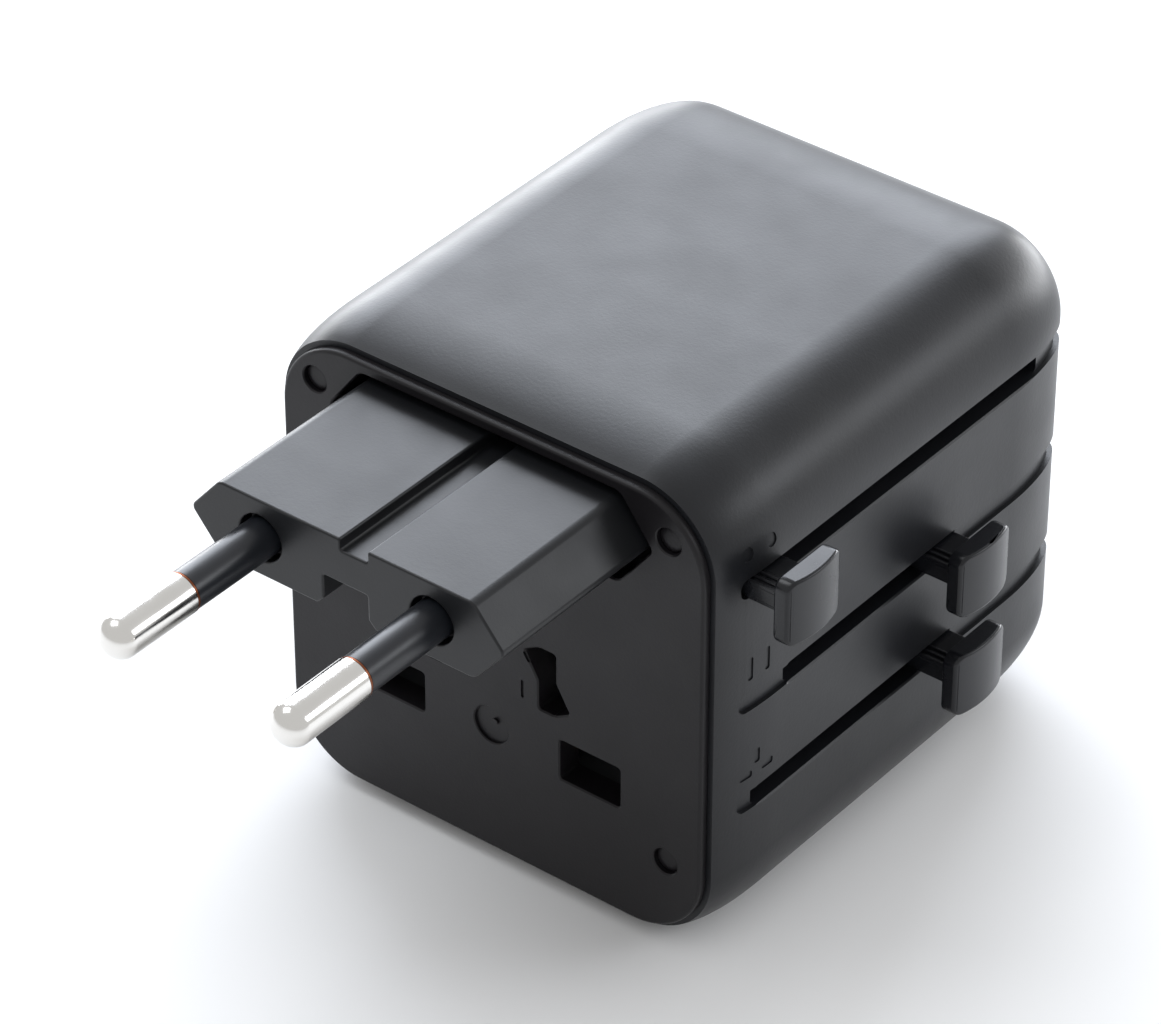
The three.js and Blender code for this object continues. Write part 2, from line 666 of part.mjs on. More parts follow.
// A coil spring standing on the shutter's ledge, under the fixed one.
function makeShutterSpring() {
  const wire = 0.25;
  const turns = 6;
  const radius = 1.4;
  const z0 = shutterTop + wire + touch;
  const z1 = springTop - wire - touch;
  const points = [];
  for (let i = 0; i <= turns * 10; i++) {
    const angle = (i / 10) * 2 * Math.PI;
    const z = z0 + ((z1 - z0) * i) / (turns * 10);
    points.push(new THREE.Vector3(radius * Math.cos(angle), springY + radius * Math.sin(angle), z));
  }
  const round = new THREE.Shape();
  round.absarc(0, 0, wire, 0, 2 * Math.PI);
  return solid(
    new THREE.ExtrudeGeometry(round, {
      steps: turns * 12,
      extrudePath: new THREE.CatmullRomCurve3(points),
      curveSegments: 5,
    }),
  );
}

// A sprung clip open towards the socket face, gripping a pin from above and below.
function makeClip(side) {
  const sheet = 0.4;
  const y0 = clipFront;
  const y1 = shutterY - ledge.depth + 1.6;
  const bottom = floorTop + touch;
  const top = 2 * ukZ - bottom;
  const outline = polygon(
    [y0, bottom],
    [y1 - 4, bottom],
    [y1 - 2, bottom + 0.5],
    [y1, bottom],
    [y1, bottom + sheet],
    [y1 - 2, bottom + 0.5 + sheet],
    [y1 - 4, bottom + sheet],
    [y0 + sheet, bottom + sheet],
    [y0 + sheet, top - sheet],
    [y1 - 4, top - sheet],
    [y1 - 2, top - 0.5 - sheet],
    [y1, top - sheet],
    [y1, top],
    [y1 - 2, top - 0.5],
    [y1 - 4, top],
    [y0, top],
  );
  const clip = prismX(outline, socketSlot.inner - 2.6, socketSlot.outer - 0.2);
  return side > 0 ? clip : mirrored(clip);
}

const clipFront = ukFront + ukFrameDepth + 1.8;
const busX = 9.5;
const busWidth = 4;
const busDepth = 0.5;
const busFront = plateInner + 2.5;
const busRear = rearFlange - shutterThickness - 2.5;

function makeBus(side) {
  const bar = box(busX - busWidth / 2, busX + busWidth / 2, busFront, busRear, floorTop - busDepth, floorTop);
  return side > 0 ? bar : mirrored(bar);
}

const fuseRear = cavityRear - 0.4;
const fuseFront = fuseRear - fuse.length;

function makeFuseTube() {
  return rodY(fuse.x, fuse.z, fuse.radius - 0.25, fuseFront + 5, fuseRear - 5);
}

function makeFuseCap(rear) {
  const y0 = rear ? fuseRear - 5 + touch : fuseFront + touch;
  return rodY(fuse.x, fuse.z, fuse.radius, y0, y0 + 5 - 2 * touch);
}

function makeFuseCover() {
  const { x, z } = fuse;
  const head = rodY(x, z, fuseCover.radius, rearFace - fuseCover.depth + touch, rearFace - 0.1, 32);
  const plug = rodY(x, z, fuse.radius, fuseRear + touch, rearFace - 0.5);
  return cut(join(head, plug), box(x - 2.8, x + 2.8, rearFace - 0.9, rearY, z - 0.5, z + 0.5));
}

// ---------------------------------------------------------------- electronics
const usbBoardX = -halfWidth + 0.4 + usb.depth + 0.2;

function makeUsbShell(z) {
  const { y, width, height, depth, sheet } = usb;
  const x0 = -halfWidth + 0.4;
  const outer = roundRect(y, z, width, height, 0.6);
  const inner = roundRect(y, z, width - 2 * sheet, height - 2 * sheet, 0.4);
  return prismX(outer, x0, x0 + depth, 3).subtract(prismX(inner, x0 - 1, x0 + depth - 1, 3));
}

function makeUsbTongue(z) {
  const { y, depth, sheet, width, height } = usb;
  const x0 = -halfWidth + 0.4;
  const inner = x0 + depth - 1 - touch;
  const plug = roundRect(y, z, width - 2 * sheet - snug, height - 2 * sheet - snug, 0.4);
  return join(
    box(x0 + 1, inner, y - 5.5, y + 5.5, z + 0.2, z + 2.05),
    prismX(plug, inner - 3, inner, 3),
  );
}

// An upright board behind the two ports, standing on the floor of the inner frame with one leg.
function makeUsbBoard() {
  const legY = ukFront + ukFrameDepth + 0.4;
  const y1 = shutterY - 0.5;
  const z0 = 2 * ukZ - floorTop + 0.6;
  const z1 = usb.z[1] + usb.height / 2 + 1.6;
  const outline = polygon([legY, floorTop + touch], [legY + 1, floorTop + touch], [legY + 1, z0],
    [y1, z0], [y1, z1], [legY, z1]);
  return prismX(outline, usbBoardX, usbBoardX + board);
}

function makePowerBoard() {
  const [x, y0] = [18.5, -14];
  return box(-x, x, y0, rearFlange - 1, boardBottom, boardBottom + board);
}

const bayFloor = boardBottom + board + touch;
const bayRoof = floorTop - floorThickness - fit;

function makeCore() {
  const ring = box(-12, 2, -9, 4, bayFloor, bayRoof);
  const windows = [
    [-10, -6.5],
    [-3.5, 0],
  ].map(([x0, x1]) => box(x0, x1, -10, 5, bayFloor + 1, bayRoof - 1));
  return cut(ring, ...windows);
}

function makeWinding() {
  const z0 = bayFloor + 1.1;
  const z1 = bayRoof - 1.1;
  const loop = box(-9.9, -0.1, -11.5, 6.5, z0, z1);
  return loop.subtract(box(-6.6, -3.4, -9.1, 4.1, z0 - 1, z1 + 1));
}

function makeCapacitor() {
  const radius = (bayRoof - bayFloor) / 2 - touch;
  return rodY(10.5, (bayFloor + bayRoof) / 2, radius, -6, 6, 24);
}

function makeController() {
  return box(-4, 2.5, 11, 16, bayFloor, bayFloor + 1.5);
}

// ---------------------------------------------------------------- assembly
const group = new THREE.Group();
group.name = "travel_adapter";

function place(parent, name, look, shape) {
  const mesh = new THREE.Mesh(geometryOf(shape), new THREE.MeshStandardMaterial(looks[look]));
  mesh.name = name;
  parent.add(mesh);
}

function unit(name) {
  const part = new THREE.Group();
  part.name = name;
  group.add(part);
  return part;
}

const sides = [
  ["left", -1],
  ["right", 1],
];

const housing = unit("housing");
place(housing, "shell", "shell", makeShell());
place(housing, "plug_plate", "plate", makePlugPlate());
place(housing, "socket_plate", "plate", makeRearPlate());
place(housing, "guide_frame", "inner", makeGuideFrame());
place(housing, "slider_guide", "inner", makeSliderGuide());
for (const screw of cornerScrews) {
  place(housing, `screw_${screw.name}`, "steel", makeScrew(screw));
  place(housing, `screw_cover_${screw.name}`, "plate", makeScrewCover(screw));
}

const euPlug = unit("round_pin_plug");
place(euPlug, "eu_block", "shell", makeEuBlock());
for (const [name, side] of sides) {
  place(euPlug, `eu_pin_${name}`, "nickel", makeEuPin(side));
  place(euPlug, `eu_sleeve_${name}`, "sleeve", makeEuSleeve(side));
}

const usPlug = unit("flat_blade_plug");
place(usPlug, "us_base", "inner", makeUsBase());
for (const [name, side] of sides) {
  place(usPlug, `us_rotor_${name}`, "shell", makeRotor(side));
  place(usPlug, `us_blade_${name}`, "nickel", makeBlade(side));
}

const ukPlug = unit("square_pin_plug");
place(ukPlug, "uk_frame", "inner", makeUkFrame());
for (const [name, side] of sides) place(ukPlug, `uk_pin_${name}`, "nickel", makeUkPin(side));
place(ukPlug, "uk_earth_pin", "shell", makeEarthPin());

const tabs = unit("slider_tabs");
for (const [name, slider] of Object.entries(sliders)) {
  place(tabs, `${name}_tab`, "shell", makeTab(slider));
}

const contacts = unit("socket_parts");
for (const [name, side] of sides) {
  place(contacts, `contact_clip_${name}`, "brass", makeClip(side));
  place(contacts, `bus_bar_${name}`, "brass", makeBus(side));
}
place(contacts, "shutter", "plate", makeShutter());
place(contacts, "shutter_spring", "steel", makeShutterSpring());
place(contacts, "fuse_tube", "ceramic", makeFuseTube());
place(contacts, "fuse_cap_front", "nickel", makeFuseCap(false));
place(contacts, "fuse_cap_rear", "nickel", makeFuseCap(true));
place(contacts, "fuse_cover", "shell", makeFuseCover());

const electronics = unit("usb_supply");
for (const [name, z] of [["lower", usb.z[0]], ["upper", usb.z[1]]]) {
  place(electronics, `usb_shell_${name}`, "steel", makeUsbShell(z));
  place(electronics, `usb_tongue_${name}`, "sleeve", makeUsbTongue(z));
}
place(electronics, "usb_board", "laminate", makeUsbBoard());
place(electronics, "power_board", "laminate", makePowerBoard());
place(electronics, "transformer_core", "ferrite", makeCore());
place(electronics, "transformer_winding", "tape", makeWinding());
place(electronics, "capacitor", "can", makeCapacitor());
place(electronics, "controller", "sleeve", makeController());

export default group;
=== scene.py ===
# %% [markdown]
# # A universal travel adapter
# The adapter is a moulded plastic block. One end holds three plugs that slide out one at a time,
# each pushed by a thumb tab in the side, and the other end is a socket. The solids of the parts
# are loaded first as a fixed frame. They are exact in size but coarse, so each visible piece is
# then modelled finely in the same place.

# %% Load the frame
import json
import math

import bmesh
import bpy
from mathutils import Matrix, Vector


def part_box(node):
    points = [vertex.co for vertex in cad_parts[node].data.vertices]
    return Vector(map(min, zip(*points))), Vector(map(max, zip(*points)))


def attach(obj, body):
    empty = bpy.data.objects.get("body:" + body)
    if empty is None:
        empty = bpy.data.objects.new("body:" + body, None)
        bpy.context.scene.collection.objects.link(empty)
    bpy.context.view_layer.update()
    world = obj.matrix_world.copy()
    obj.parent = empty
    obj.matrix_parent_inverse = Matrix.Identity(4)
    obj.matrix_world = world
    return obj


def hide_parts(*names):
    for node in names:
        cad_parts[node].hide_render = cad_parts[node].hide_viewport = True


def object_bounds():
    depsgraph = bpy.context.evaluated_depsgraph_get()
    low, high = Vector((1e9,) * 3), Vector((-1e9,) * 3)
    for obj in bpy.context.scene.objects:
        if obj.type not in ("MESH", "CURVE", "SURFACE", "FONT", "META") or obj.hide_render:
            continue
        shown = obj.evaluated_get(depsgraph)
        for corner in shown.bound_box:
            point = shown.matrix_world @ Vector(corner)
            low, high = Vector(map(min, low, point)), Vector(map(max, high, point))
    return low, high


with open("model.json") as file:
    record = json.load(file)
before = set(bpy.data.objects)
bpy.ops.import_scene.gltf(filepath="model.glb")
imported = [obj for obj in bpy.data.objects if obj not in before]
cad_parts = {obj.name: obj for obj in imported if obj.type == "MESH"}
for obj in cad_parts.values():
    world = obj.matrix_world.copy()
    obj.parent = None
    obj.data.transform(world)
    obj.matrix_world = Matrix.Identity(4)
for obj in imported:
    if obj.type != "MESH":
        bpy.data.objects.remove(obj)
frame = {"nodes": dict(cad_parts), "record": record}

cad_low, cad_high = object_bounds()
print("frame box, mm:", [round(1000 * v, 1) for v in (*cad_low, *cad_high)])

# %% [markdown]
# ## Camera
# A product picture of something this small is taken from about half a metre with a long lens, so
# the edges stay nearly parallel. The camera stands in front of the plug face, to its right and
# above it. A small lens shift places the block in the frame without turning the camera.

# %% Camera
MM = 0.001


def aim(thing, spot, target):
    thing.location = Vector(spot) * MM
    thing.rotation_euler = (Vector(target) - Vector(spot)).to_track_quat("-Z", "Y").to_euler()


camera_data = bpy.data.cameras.new("camera")
camera = bpy.data.objects.new("camera", camera_data)
bpy.context.scene.collection.objects.link(camera)
camera_data.lens = 166.8
camera_data.sensor_width = 36
camera_data.shift_x = -0.0048
camera_data.shift_y = 0.0177
camera_data.clip_start = 0.01
aim(camera, (240.3, -318.4, 310.5), (-11.08, 0, 16.07))
bpy.context.scene.camera = camera
print("camera distance, mm:", round(camera.location.length / MM))

# %% [markdown]
# ## Studio
# Black plastic shows only what it reflects. One wide soft box stands behind and to the left,
# where the top mirrors it towards the camera, so the top gets a pale sheen while the faces
# towards the camera stay dark. Two low ones draw light lines along the left and rear edges, one
# on the right shades the rounded right edge, and a weak one above lifts the front edge. The white
# room is the world colour, which fills the shadows.

# %% Studio
floor_size = 3.0
bpy.ops.object.select_all(action="DESELECT")
bpy.ops.mesh.primitive_plane_add(size=floor_size, location=(0, 0, cad_low.z))
floor = bpy.context.object
floor.name = "studio_floor"
bpy.ops.object.transform_apply(location=True, rotation=True, scale=True)


def soft_box(name, spot, target, width, depth, watts, tint=(1, 1, 1)):
    data = bpy.data.lights.new(name, "AREA")
    data.shape = "RECTANGLE"
    data.size = width * MM
    data.size_y = depth * MM
    data.energy = watts
    data.color = tint
    lamp = bpy.data.objects.new(name, data)
    bpy.context.scene.collection.objects.link(lamp)
    lamp.visible_camera = False
    aim(lamp, spot, target)
    return lamp


soft_box("soft_box_behind", (-430, 520, 400), (0, 0, 30), 700, 460, 6.3, (0.86, 0.91, 1.0))
soft_box("soft_box_right", (560, 460, 330), (20, 0, 35), 280, 240, 0.75, (0.92, 0.95, 1.0))
soft_box("soft_box_low_rear", (120, 640, 100), (20, 20, 40), 460, 190, 3.0, (0.95, 0.97, 1.0))
soft_box("soft_box_low_left", (-560, 380, 60), (-20, 0, 40), 460, 160, 2.0, (0.95, 0.97, 1.0))
soft_box("soft_box_above", (-260, -130, 520), (0, 0, 50), 260, 260, 0.8, (0.93, 0.96, 1.0))

world = bpy.data.worlds.new("white_room")
bpy.context.scene.world = world
world.use_nodes = True
world.node_tree.nodes["Background"].inputs["Color"].default_value = (1, 1, 1, 1)
world.node_tree.nodes["Background"].inputs["Strength"].default_value = 0.68
bpy.context.scene.view_settings.view_transform = "Standard"

# %% [markdown]
# ## Finishes
# Every finish is built from the shader, a little unevenness in its gloss, and a fine relief. The
# relief of a moulded part comes from the tool: the cavity is spark-eroded, which leaves grains a
# few tenths of a millimetre wide. One function turns a colour from the usual hex code into linear
# light, and the others add the nodes that several finishes share.

# %% Helpers for finishes
def linear(code):
    values = [int(code[i:i + 2], 16) / 255 for i in (1, 3, 5)]
    return tuple(v / 12.92 if v <= 0.04045 else ((v + 0.055) / 1.055) ** 2.4 for v in values) + (1,)


def add_node(tree, kind, settings=None, sockets=None):
    """Adds a node. A socket's value is a constant, or the output that is linked to it."""
    made = tree.nodes.new(kind)
    for key, value in (settings or {}).items():
        setattr(made, key, value)
    for key, value in (sockets or {}).items():
        if isinstance(value, bpy.types.NodeSocket):
            tree.links.new(value, made.inputs[key])
        else:
            made.inputs[key].default_value = value
    return made


def new_finish(name, base, roughness, metallic=0.0, **constants):
    """A finish with its shader, its node tree and the object coordinates that its patterns read."""
    finish = bpy.data.materials.new(name)
    finish.use_nodes = True
    tree = finish.node_tree
    shader = tree.nodes["Principled BSDF"]
    shader.inputs["Base Color"].default_value = linear(base)
    shader.inputs["Roughness"].default_value = roughness
    shader.inputs["Metallic"].default_value = metallic
    for key, value in constants.items():
        shader.inputs[key.replace("_", " ")].default_value = value
    place = add_node(tree, "ShaderNodeTexCoord").outputs["Object"]
    return finish, tree, shader, place


def per_metre(size_mm):
    """Noise scale whose blobs are about this wide."""
    return 1000 / size_mm


def uneven(tree, place, size_mm, low, high, detail=2.0):
    """A value that wanders between low and high in patches of the given size."""
    noise = add_node(tree, "ShaderNodeTexNoise", None,
                     {"Vector": place, "Scale": per_metre(size_mm), "Detail": detail})
    spread = add_node(tree, "ShaderNodeMapRange", None, {
        "Value": noise.outputs["Fac"],
        "From Min": 0.3, "From Max": 0.7, "To Min": low, "To Max": high})
    return spread.outputs["Result"]


def wandering_gloss(tree, place, shader, roughness, size_mm, more, detail):
    """Lets the roughness wander, from a little below its value to somewhat above it."""
    spread = uneven(tree, place, size_mm, roughness - 0.03, roughness + more, detail)
    tree.links.new(spread, shader.inputs["Roughness"])


def two_tones(tree, place, shader, base, patch, size_mm):
    """Mixes two close colours in patches."""
    tint = add_node(tree, "ShaderNodeMix", {"data_type": "RGBA"}, {
        "Factor": uneven(tree, place, size_mm, 0.0, 1.0, 4.0),
        "A": linear(base), "B": linear(patch)})
    tree.links.new(tint.outputs["Result"], shader.inputs["Base Color"])


def relief(tree, shader, height, distance_mm, strength):
    bump = add_node(tree, "ShaderNodeBump", None,
                    {"Height": height, "Distance": distance_mm * MM, "Strength": strength})
    tree.links.new(bump.outputs["Normal"], shader.inputs["Normal"])


# %% [markdown]
# ### Black plastic
# The block and the plates are polycarbonate blended with ABS, moulded in a spark-eroded tool. To
# the eye that is a near-black with a soft grey sheen where it faces the light. Two sizes of noise
# make the grain, and a wide slow noise lets the gloss wander as it does where hands have touched
# it. The plates' base is darker than the shell's. That is partly their own purplish tint and partly
# painted shade, which stands in for the shade on the plug face.

# %% Black plastic
grain_mm = 0.34
inner_grain_mm = 0.6


def moulded_plastic(name, base, patch, roughness, depth_mm, strength, ior=1.41, grain=grain_mm):
    finish, tree, shader, place = new_finish(name, base, roughness, IOR=ior)
    two_tones(tree, place, shader, base, patch, 9.0)
    wandering_gloss(tree, place, shader, roughness, 6.0, 0.04, 5.0)
    coarse = uneven(tree, place, grain, 0.0, 1.0, 1.0)
    fine = uneven(tree, place, grain * 0.45, 0.0, 0.6, 1.0)
    height = add_node(tree, "ShaderNodeMath", {"operation": "ADD"}, {0: coarse, 1: fine})
    relief(tree, shader, height.outputs["Value"], depth_mm, strength)
    return finish


shell_plastic = moulded_plastic(
    "spark_eroded_black_polycarbonate", "#151619", "#18191d", 0.37, 0.009, 0.35)
# The plates' darker base colour is partly their own purplish tint and partly painted shade for the
# plug face.
plate_plastic_with_painted_shade = moulded_plastic(
    "spark_eroded_polycarbonate_with_painted_shade", "#110f12", "#141215", 0.44, 0.009, 0.35, ior=1.36)
plug_plastic = moulded_plastic("satin_black_polyamide", "#141517", "#18191c", 0.36, 0.007, 0.3)
tab_plastic = moulded_plastic(
    "polished_black_polycarbonate", "#141518", "#17181c", 0.24, 0.004, 0.2)
inner_plastic = moulded_plastic(
    "plain_grey_polyamide", "#303134", "#36373a", 0.55, 0.01, 0.4, grain=inner_grain_mm)
print("moulded plastics: shell, plate, plug, tab and inner")

# %% [markdown]
# ### Metals
# The pins are turned from brass and nickel plated, which leaves a warm mirror with faint rings
# round the pin, and a bare copper line where the plating ends. The contacts are stamped brass, and
# the screws, the spring and the port shells are steel.

# %% Metals
def turned_metal(name, base, roughness, ring_mm, depth_mm):
    finish, tree, shader, place = new_finish(name, base, roughness, 1.0)
    stretched = add_node(tree, "ShaderNodeMapping", None,
                         {"Vector": place, "Scale": (0.04, 1.0, 0.04)})
    rings = uneven(tree, stretched.outputs["Vector"], ring_mm, 0.0, 1.0, 3.0)
    wandering_gloss(tree, place, shader, roughness, 2.5, 0.05, 4.0)
    relief(tree, shader, rings, depth_mm, 0.25)
    return finish


nickel_plate = turned_metal("nickel_plated_turned_brass", "#e6e4e0", 0.15, 0.25, 0.004)
stamped_brass = turned_metal("stamped_brass", "#c7a35a", 0.34, 0.5, 0.006)
zinc_steel = turned_metal("zinc_plated_steel", "#a7a9ad", 0.36, 0.4, 0.006)
port_steel = turned_metal("drawn_stainless_steel", "#b9babd", 0.28, 0.3, 0.004)
copper_band = turned_metal("bare_copper_band", "#7d4a32", 0.35, 0.3, 0.003)
print("metals: nickel, brass, zinc steel, port steel and copper")

# %% [markdown]
# ### Small finishes
# The sleeves on the pins are smooth polyamide, so they carry a soft light band along their tops.
# The circuit parts inside are hardly seen, and have the lacquer, ferrite, tape and glaze that
# such parts have.

# %% Small finishes
def smooth_coat(name, base, patch, roughness, patch_mm, gloss=0.0):
    finish, tree, shader, place = new_finish(name, base, roughness, Coat_Weight=gloss)
    two_tones(tree, place, shader, base, patch, patch_mm)
    wandering_gloss(tree, place, shader, roughness, 3.0, 0.05, 3.0)
    relief(tree, shader, uneven(tree, place, 0.8, 0.0, 1.0, 3.0), 0.006, 0.2)
    return finish


sleeve_plastic = smooth_coat("smooth_black_polyamide", "#1a1c21", "#1e2025", 0.3, 5.0)
tongue_plastic = smooth_coat("white_liquid_crystal_polymer", "#d9d8d2", "#e2e1dc", 0.4, 4.0)
green_laminate = smooth_coat("lacquered_glass_laminate", "#1c5a36", "#236842", 0.35, 3.0, 0.3)
ferrite = smooth_coat("sintered_ferrite", "#2b2b2e", "#37373b", 0.75, 0.6)
polyester_tape = smooth_coat("polyester_winding_tape", "#d3ae34", "#dcb945", 0.35, 6.0)
can_sleeve = smooth_coat("shrunk_capacitor_sleeve", "#22304c", "#283858", 0.3, 5.0)
fuse_ceramic = smooth_coat("glazed_fuse_ceramic", "#e5e1d6", "#ece9e0", 0.3, 4.0, 0.3)

slot_finish = {
    "shell": shell_plastic,
    "plate": plate_plastic_with_painted_shade,
    "inner": inner_plastic,
    "sleeve": sleeve_plastic,
    "nickel": nickel_plate,
    "brass": stamped_brass,
    "steel": zinc_steel,
    "laminate": green_laminate,
    "ferrite": ferrite,
    "tape": polyester_tape,
    "can": can_sleeve,
    "ceramic": fuse_ceramic,
}
slot_of_node = {part["node"]: part["material_slot"] for part in frame["record"]["subparts"]}
for name, thing in frame["nodes"].items():
    thing.data.materials.clear()
    thing.data.materials.append(slot_finish[slot_of_node[name]])
print("finishes given to", len(frame["nodes"]), "nodes of the frame")

floor.data.materials.append(new_finish("white_paper_sweep", "#f7f7f7", 0.9)[0])

# %% [markdown]
# ## Ways of working
# Most pieces are prisms with rounded corners, some with a rounded end. On a real part the corners
# are cut with a round tool and the ends are blended. Here one flat face is added, its corners are
# bevelled, and it is extruded. To round an end, the face is inset a little and carried along a
# little, many times: inset keeps the border even.

# %% Helpers for modelling
def fresh(adder, name, stretch=(1, 1, 1), **settings):
    """Adds a primitive on its own, puts its place in its mesh and opens it for editing."""
    if bpy.context.mode != "OBJECT":
        bpy.ops.object.mode_set(mode="OBJECT")
    bpy.ops.object.select_all(action="DESELECT")
    adder(**settings)
    piece = bpy.context.object
    piece.name = name
    piece.data.name = name
    piece.scale = stretch
    bpy.ops.object.transform_apply(location=True, rotation=True, scale=True)
    bpy.ops.object.mode_set(mode="EDIT")
    bpy.ops.mesh.select_all(action="SELECT")
    return piece


def done(piece):
    """Closes edit mode with all faces pointing outwards."""
    bpy.ops.mesh.select_all(action="SELECT")
    bpy.ops.mesh.normals_make_consistent(inside=False)
    bpy.ops.object.mode_set(mode="OBJECT")
    return piece


def pick(piece, kind, test):
    """Selects the faces, edges or points whose centre passes the test."""
    bpy.ops.mesh.select_mode(type={"faces": "FACE", "edges": "EDGE", "verts": "VERT"}[kind])
    bpy.ops.mesh.select_all(action="DESELECT")
    sketch = bmesh.from_edit_mesh(piece.data)
    for item in getattr(sketch, kind):
        points = [item.co] if kind == "verts" else [v.co for v in item.verts]
        item.select_set(test(sum(points, Vector()) / len(points) / MM))
    sketch.select_flush_mode()
    bmesh.update_edit_mesh(piece.data)


def carry(dx=0.0, dy=0.0, dz=0.0):
    bpy.ops.mesh.extrude_region_move(TRANSFORM_OT_translate={"value": (dx * MM, dy * MM, dz * MM)})


def shrink(inset, dx=0.0, dy=0.0, dz=0.0):
    """Insets the selected face evenly and carries the smaller face along."""
    bpy.ops.mesh.inset(thickness=inset * MM, depth=0)
    bpy.ops.transform.translate(value=(dx * MM, dy * MM, dz * MM))


TURN = {"X": (0, math.pi / 2, 0), "Y": (math.pi / 2, 0, 0), "Z": (0, 0, 0)}


def round_vertices(radius, segments):
    """Rounds the selected corners of a flat face."""
    bpy.ops.mesh.bevel(offset=radius * MM, offset_type="OFFSET", segments=segments,
                       affect="VERTICES")


def plate(name, facing, at, size, radius, segments=12):
    """A flat face with round corners, in edit mode. It faces along +X, -Y or +Z.

    The size is (width, height) in millimetres: along Y and Z, X and Z, or X and Y.
    """
    stretch = (size[1], size[0], 1) if facing == "X" else (size[0], size[1], 1)
    piece = fresh(bpy.ops.mesh.primitive_plane_add, name, stretch, size=MM,
                  location=Vector(at) * MM, rotation=TURN[facing])
    if radius:
        round_vertices(radius, segments)
        bpy.ops.mesh.select_all(action="SELECT")
    return piece


def close_back(piece, axis, value):
    """Fills the open border that an extruded face leaves behind."""
    pick(piece, "edges", lambda c: abs(c[axis] - value) < 0.001)
    bpy.ops.mesh.edge_face_add()


def combine(piece, operation, tools):
    for tool in tools:
        step = piece.modifiers.new("combine", "BOOLEAN")
        step.operation = operation
        step.solver = "EXACT"
        step.object = tool
        bpy.context.view_layer.objects.active = piece
        bpy.ops.object.modifier_apply(modifier=step.name)
        bpy.data.objects.remove(tool)
    return piece


def cut(piece, *tools):
    return combine(piece, "DIFFERENCE", tools)


def join(piece, *tools):
    return combine(piece, "UNION", tools)


def soften(piece, width, angle=50, segments=3):
    """Rounds every sharp edge by a small radius."""
    step = piece.modifiers.new("soften", "BEVEL")
    step.width = width * MM
    step.segments = segments
    step.limit_method = "ANGLE"
    step.angle_limit = math.radians(angle)
    step.use_clamp_overlap = False
    step.harden_normals = False
    bpy.context.view_layer.objects.active = piece
    bpy.ops.object.modifier_apply(modifier=step.name)
    return piece


def smooth(piece, angle=32):
    """Smooth shading that keeps flat faces flat and sharp edges sharp."""
    bpy.ops.object.select_all(action="DESELECT")
    piece.select_set(True)
    bpy.context.view_layer.objects.active = piece
    bpy.ops.object.shade_smooth_by_angle(angle=math.radians(angle))
    step = piece.modifiers.new("flat_first", "WEIGHTED_NORMAL")
    step.keep_sharp = True
    bpy.ops.object.modifier_apply(modifier=step.name)


def hand_over(piece, finish, body, slot, *nodes):
    """Gives a finished piece its finish, its body and the nodes of the frame that it stands for."""
    piece.data.materials.clear()
    piece.data.materials.append(finish)
    smooth(piece)
    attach(piece, body)
    if nodes:
        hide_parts(*nodes)
    print(piece.name, "has", len(piece.data.polygons), "faces")
    return piece


# %% [markdown]
# ## Shell
# The shell is one moulding, a square tube with large round corners. Towards the plug face it
# narrows a little along part of an ellipse, and towards the socket it rounds off along a quarter
# of one. A face with round corners is added at the middle and carried to each end, inset step by
# step along those curves.

# %% Outer form of the shell
shell_low, shell_high = (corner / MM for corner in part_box("shell"))
width = shell_high.x - shell_low.x
height = shell_high.z - shell_low.z
middle_z = (shell_low.z + shell_high.z) / 2
front_y, rear_y = shell_low.y, shell_high.y
corner_radius = 9.2
wall = 2.2
nose = {"inset": 2.14, "length": 9.0, "trim": 1.2}
tail = {"inset": 3.1, "length": 10.3, "trim": 0.0}
groove_depth = 0.4
lift = 0.5


def ellipse_steps(end, count):
    """(inset, advance) for each step round the end, from the full section to the tip."""
    last = math.asin(1 - end["trim"] / end["length"])
    before = (0.0, 0.0)
    for i in range(1, count + 1):
        angle = last * i / count
        now = (end["inset"] * (1 - math.cos(angle)), end["length"] * math.sin(angle))
        yield now[0] - before[0], now[1] - before[1]
        before = now


def section(name, inset, y, segments=18):
    """The shell's outline at one place, shrunk by an inset."""
    size = (width - 2 * inset, height - 2 * inset)
    return plate(name, "Y", (0, y, middle_z), size, corner_radius - inset, segments)


def hull(name, inset=0.0):
    """The outside of the shell, shrunk by an inset."""
    piece = section(name, inset, 0)
    nose_start = front_y - nose["trim"] + nose["length"]
    carry(dy=nose_start)
    for step, advance in ellipse_steps(nose, 10):
        shrink(step, dy=-advance)
    close_back(piece, 1, 0)
    carry(dy=rear_y - inset - tail["length"])
    for step, advance in ellipse_steps(tail, 16):
        shrink(step, dy=advance)
    return done(piece)


def bar_y(name, x, z, size, radius, y0, y1, segments=6):
    """A bar along Y between two planes."""
    piece = plate(name, "Y", (x, y0, z), size, radius, segments)
    carry(dy=y1 - y0)
    close_back(piece, 1, y0)
    return done(piece)


def grown(size, more):
    return size[0] + 2 * more, size[1] + 2 * more


def funnel_y(name, x, z, size, radius, y_face, depth, flare, segments=5):
    """A cutter for a hole in a face at y_face, whose mouth is chamfered by flare."""
    grow = lift + flare
    piece = plate(name, "Y", (x, y_face - lift, z), grown(size, grow), radius + grow, segments)
    carry(dy=0)
    shrink(grow, dy=grow)
    carry(dy=depth - flare)
    close_back(piece, 1, y_face - lift)
    return done(piece)


shell = hull("shell_moulding")
cavity_end = 23.5
cut(shell, bar_y("cavity", 0, middle_z, (width - 2 * wall, height - 2 * wall),
                 corner_radius - wall, front_y - 1, cavity_end, 18))
rear_lip = 4.6
cut(shell, bar_y("socket_opening", 0, middle_z, (width - 2 * rear_lip, height - 2 * rear_lip),
                 corner_radius - rear_lip, 20, rear_y + 1, 14))
print("shell width, height, length, mm:", [round(v, 1) for v in (width, height, rear_y - front_y)])

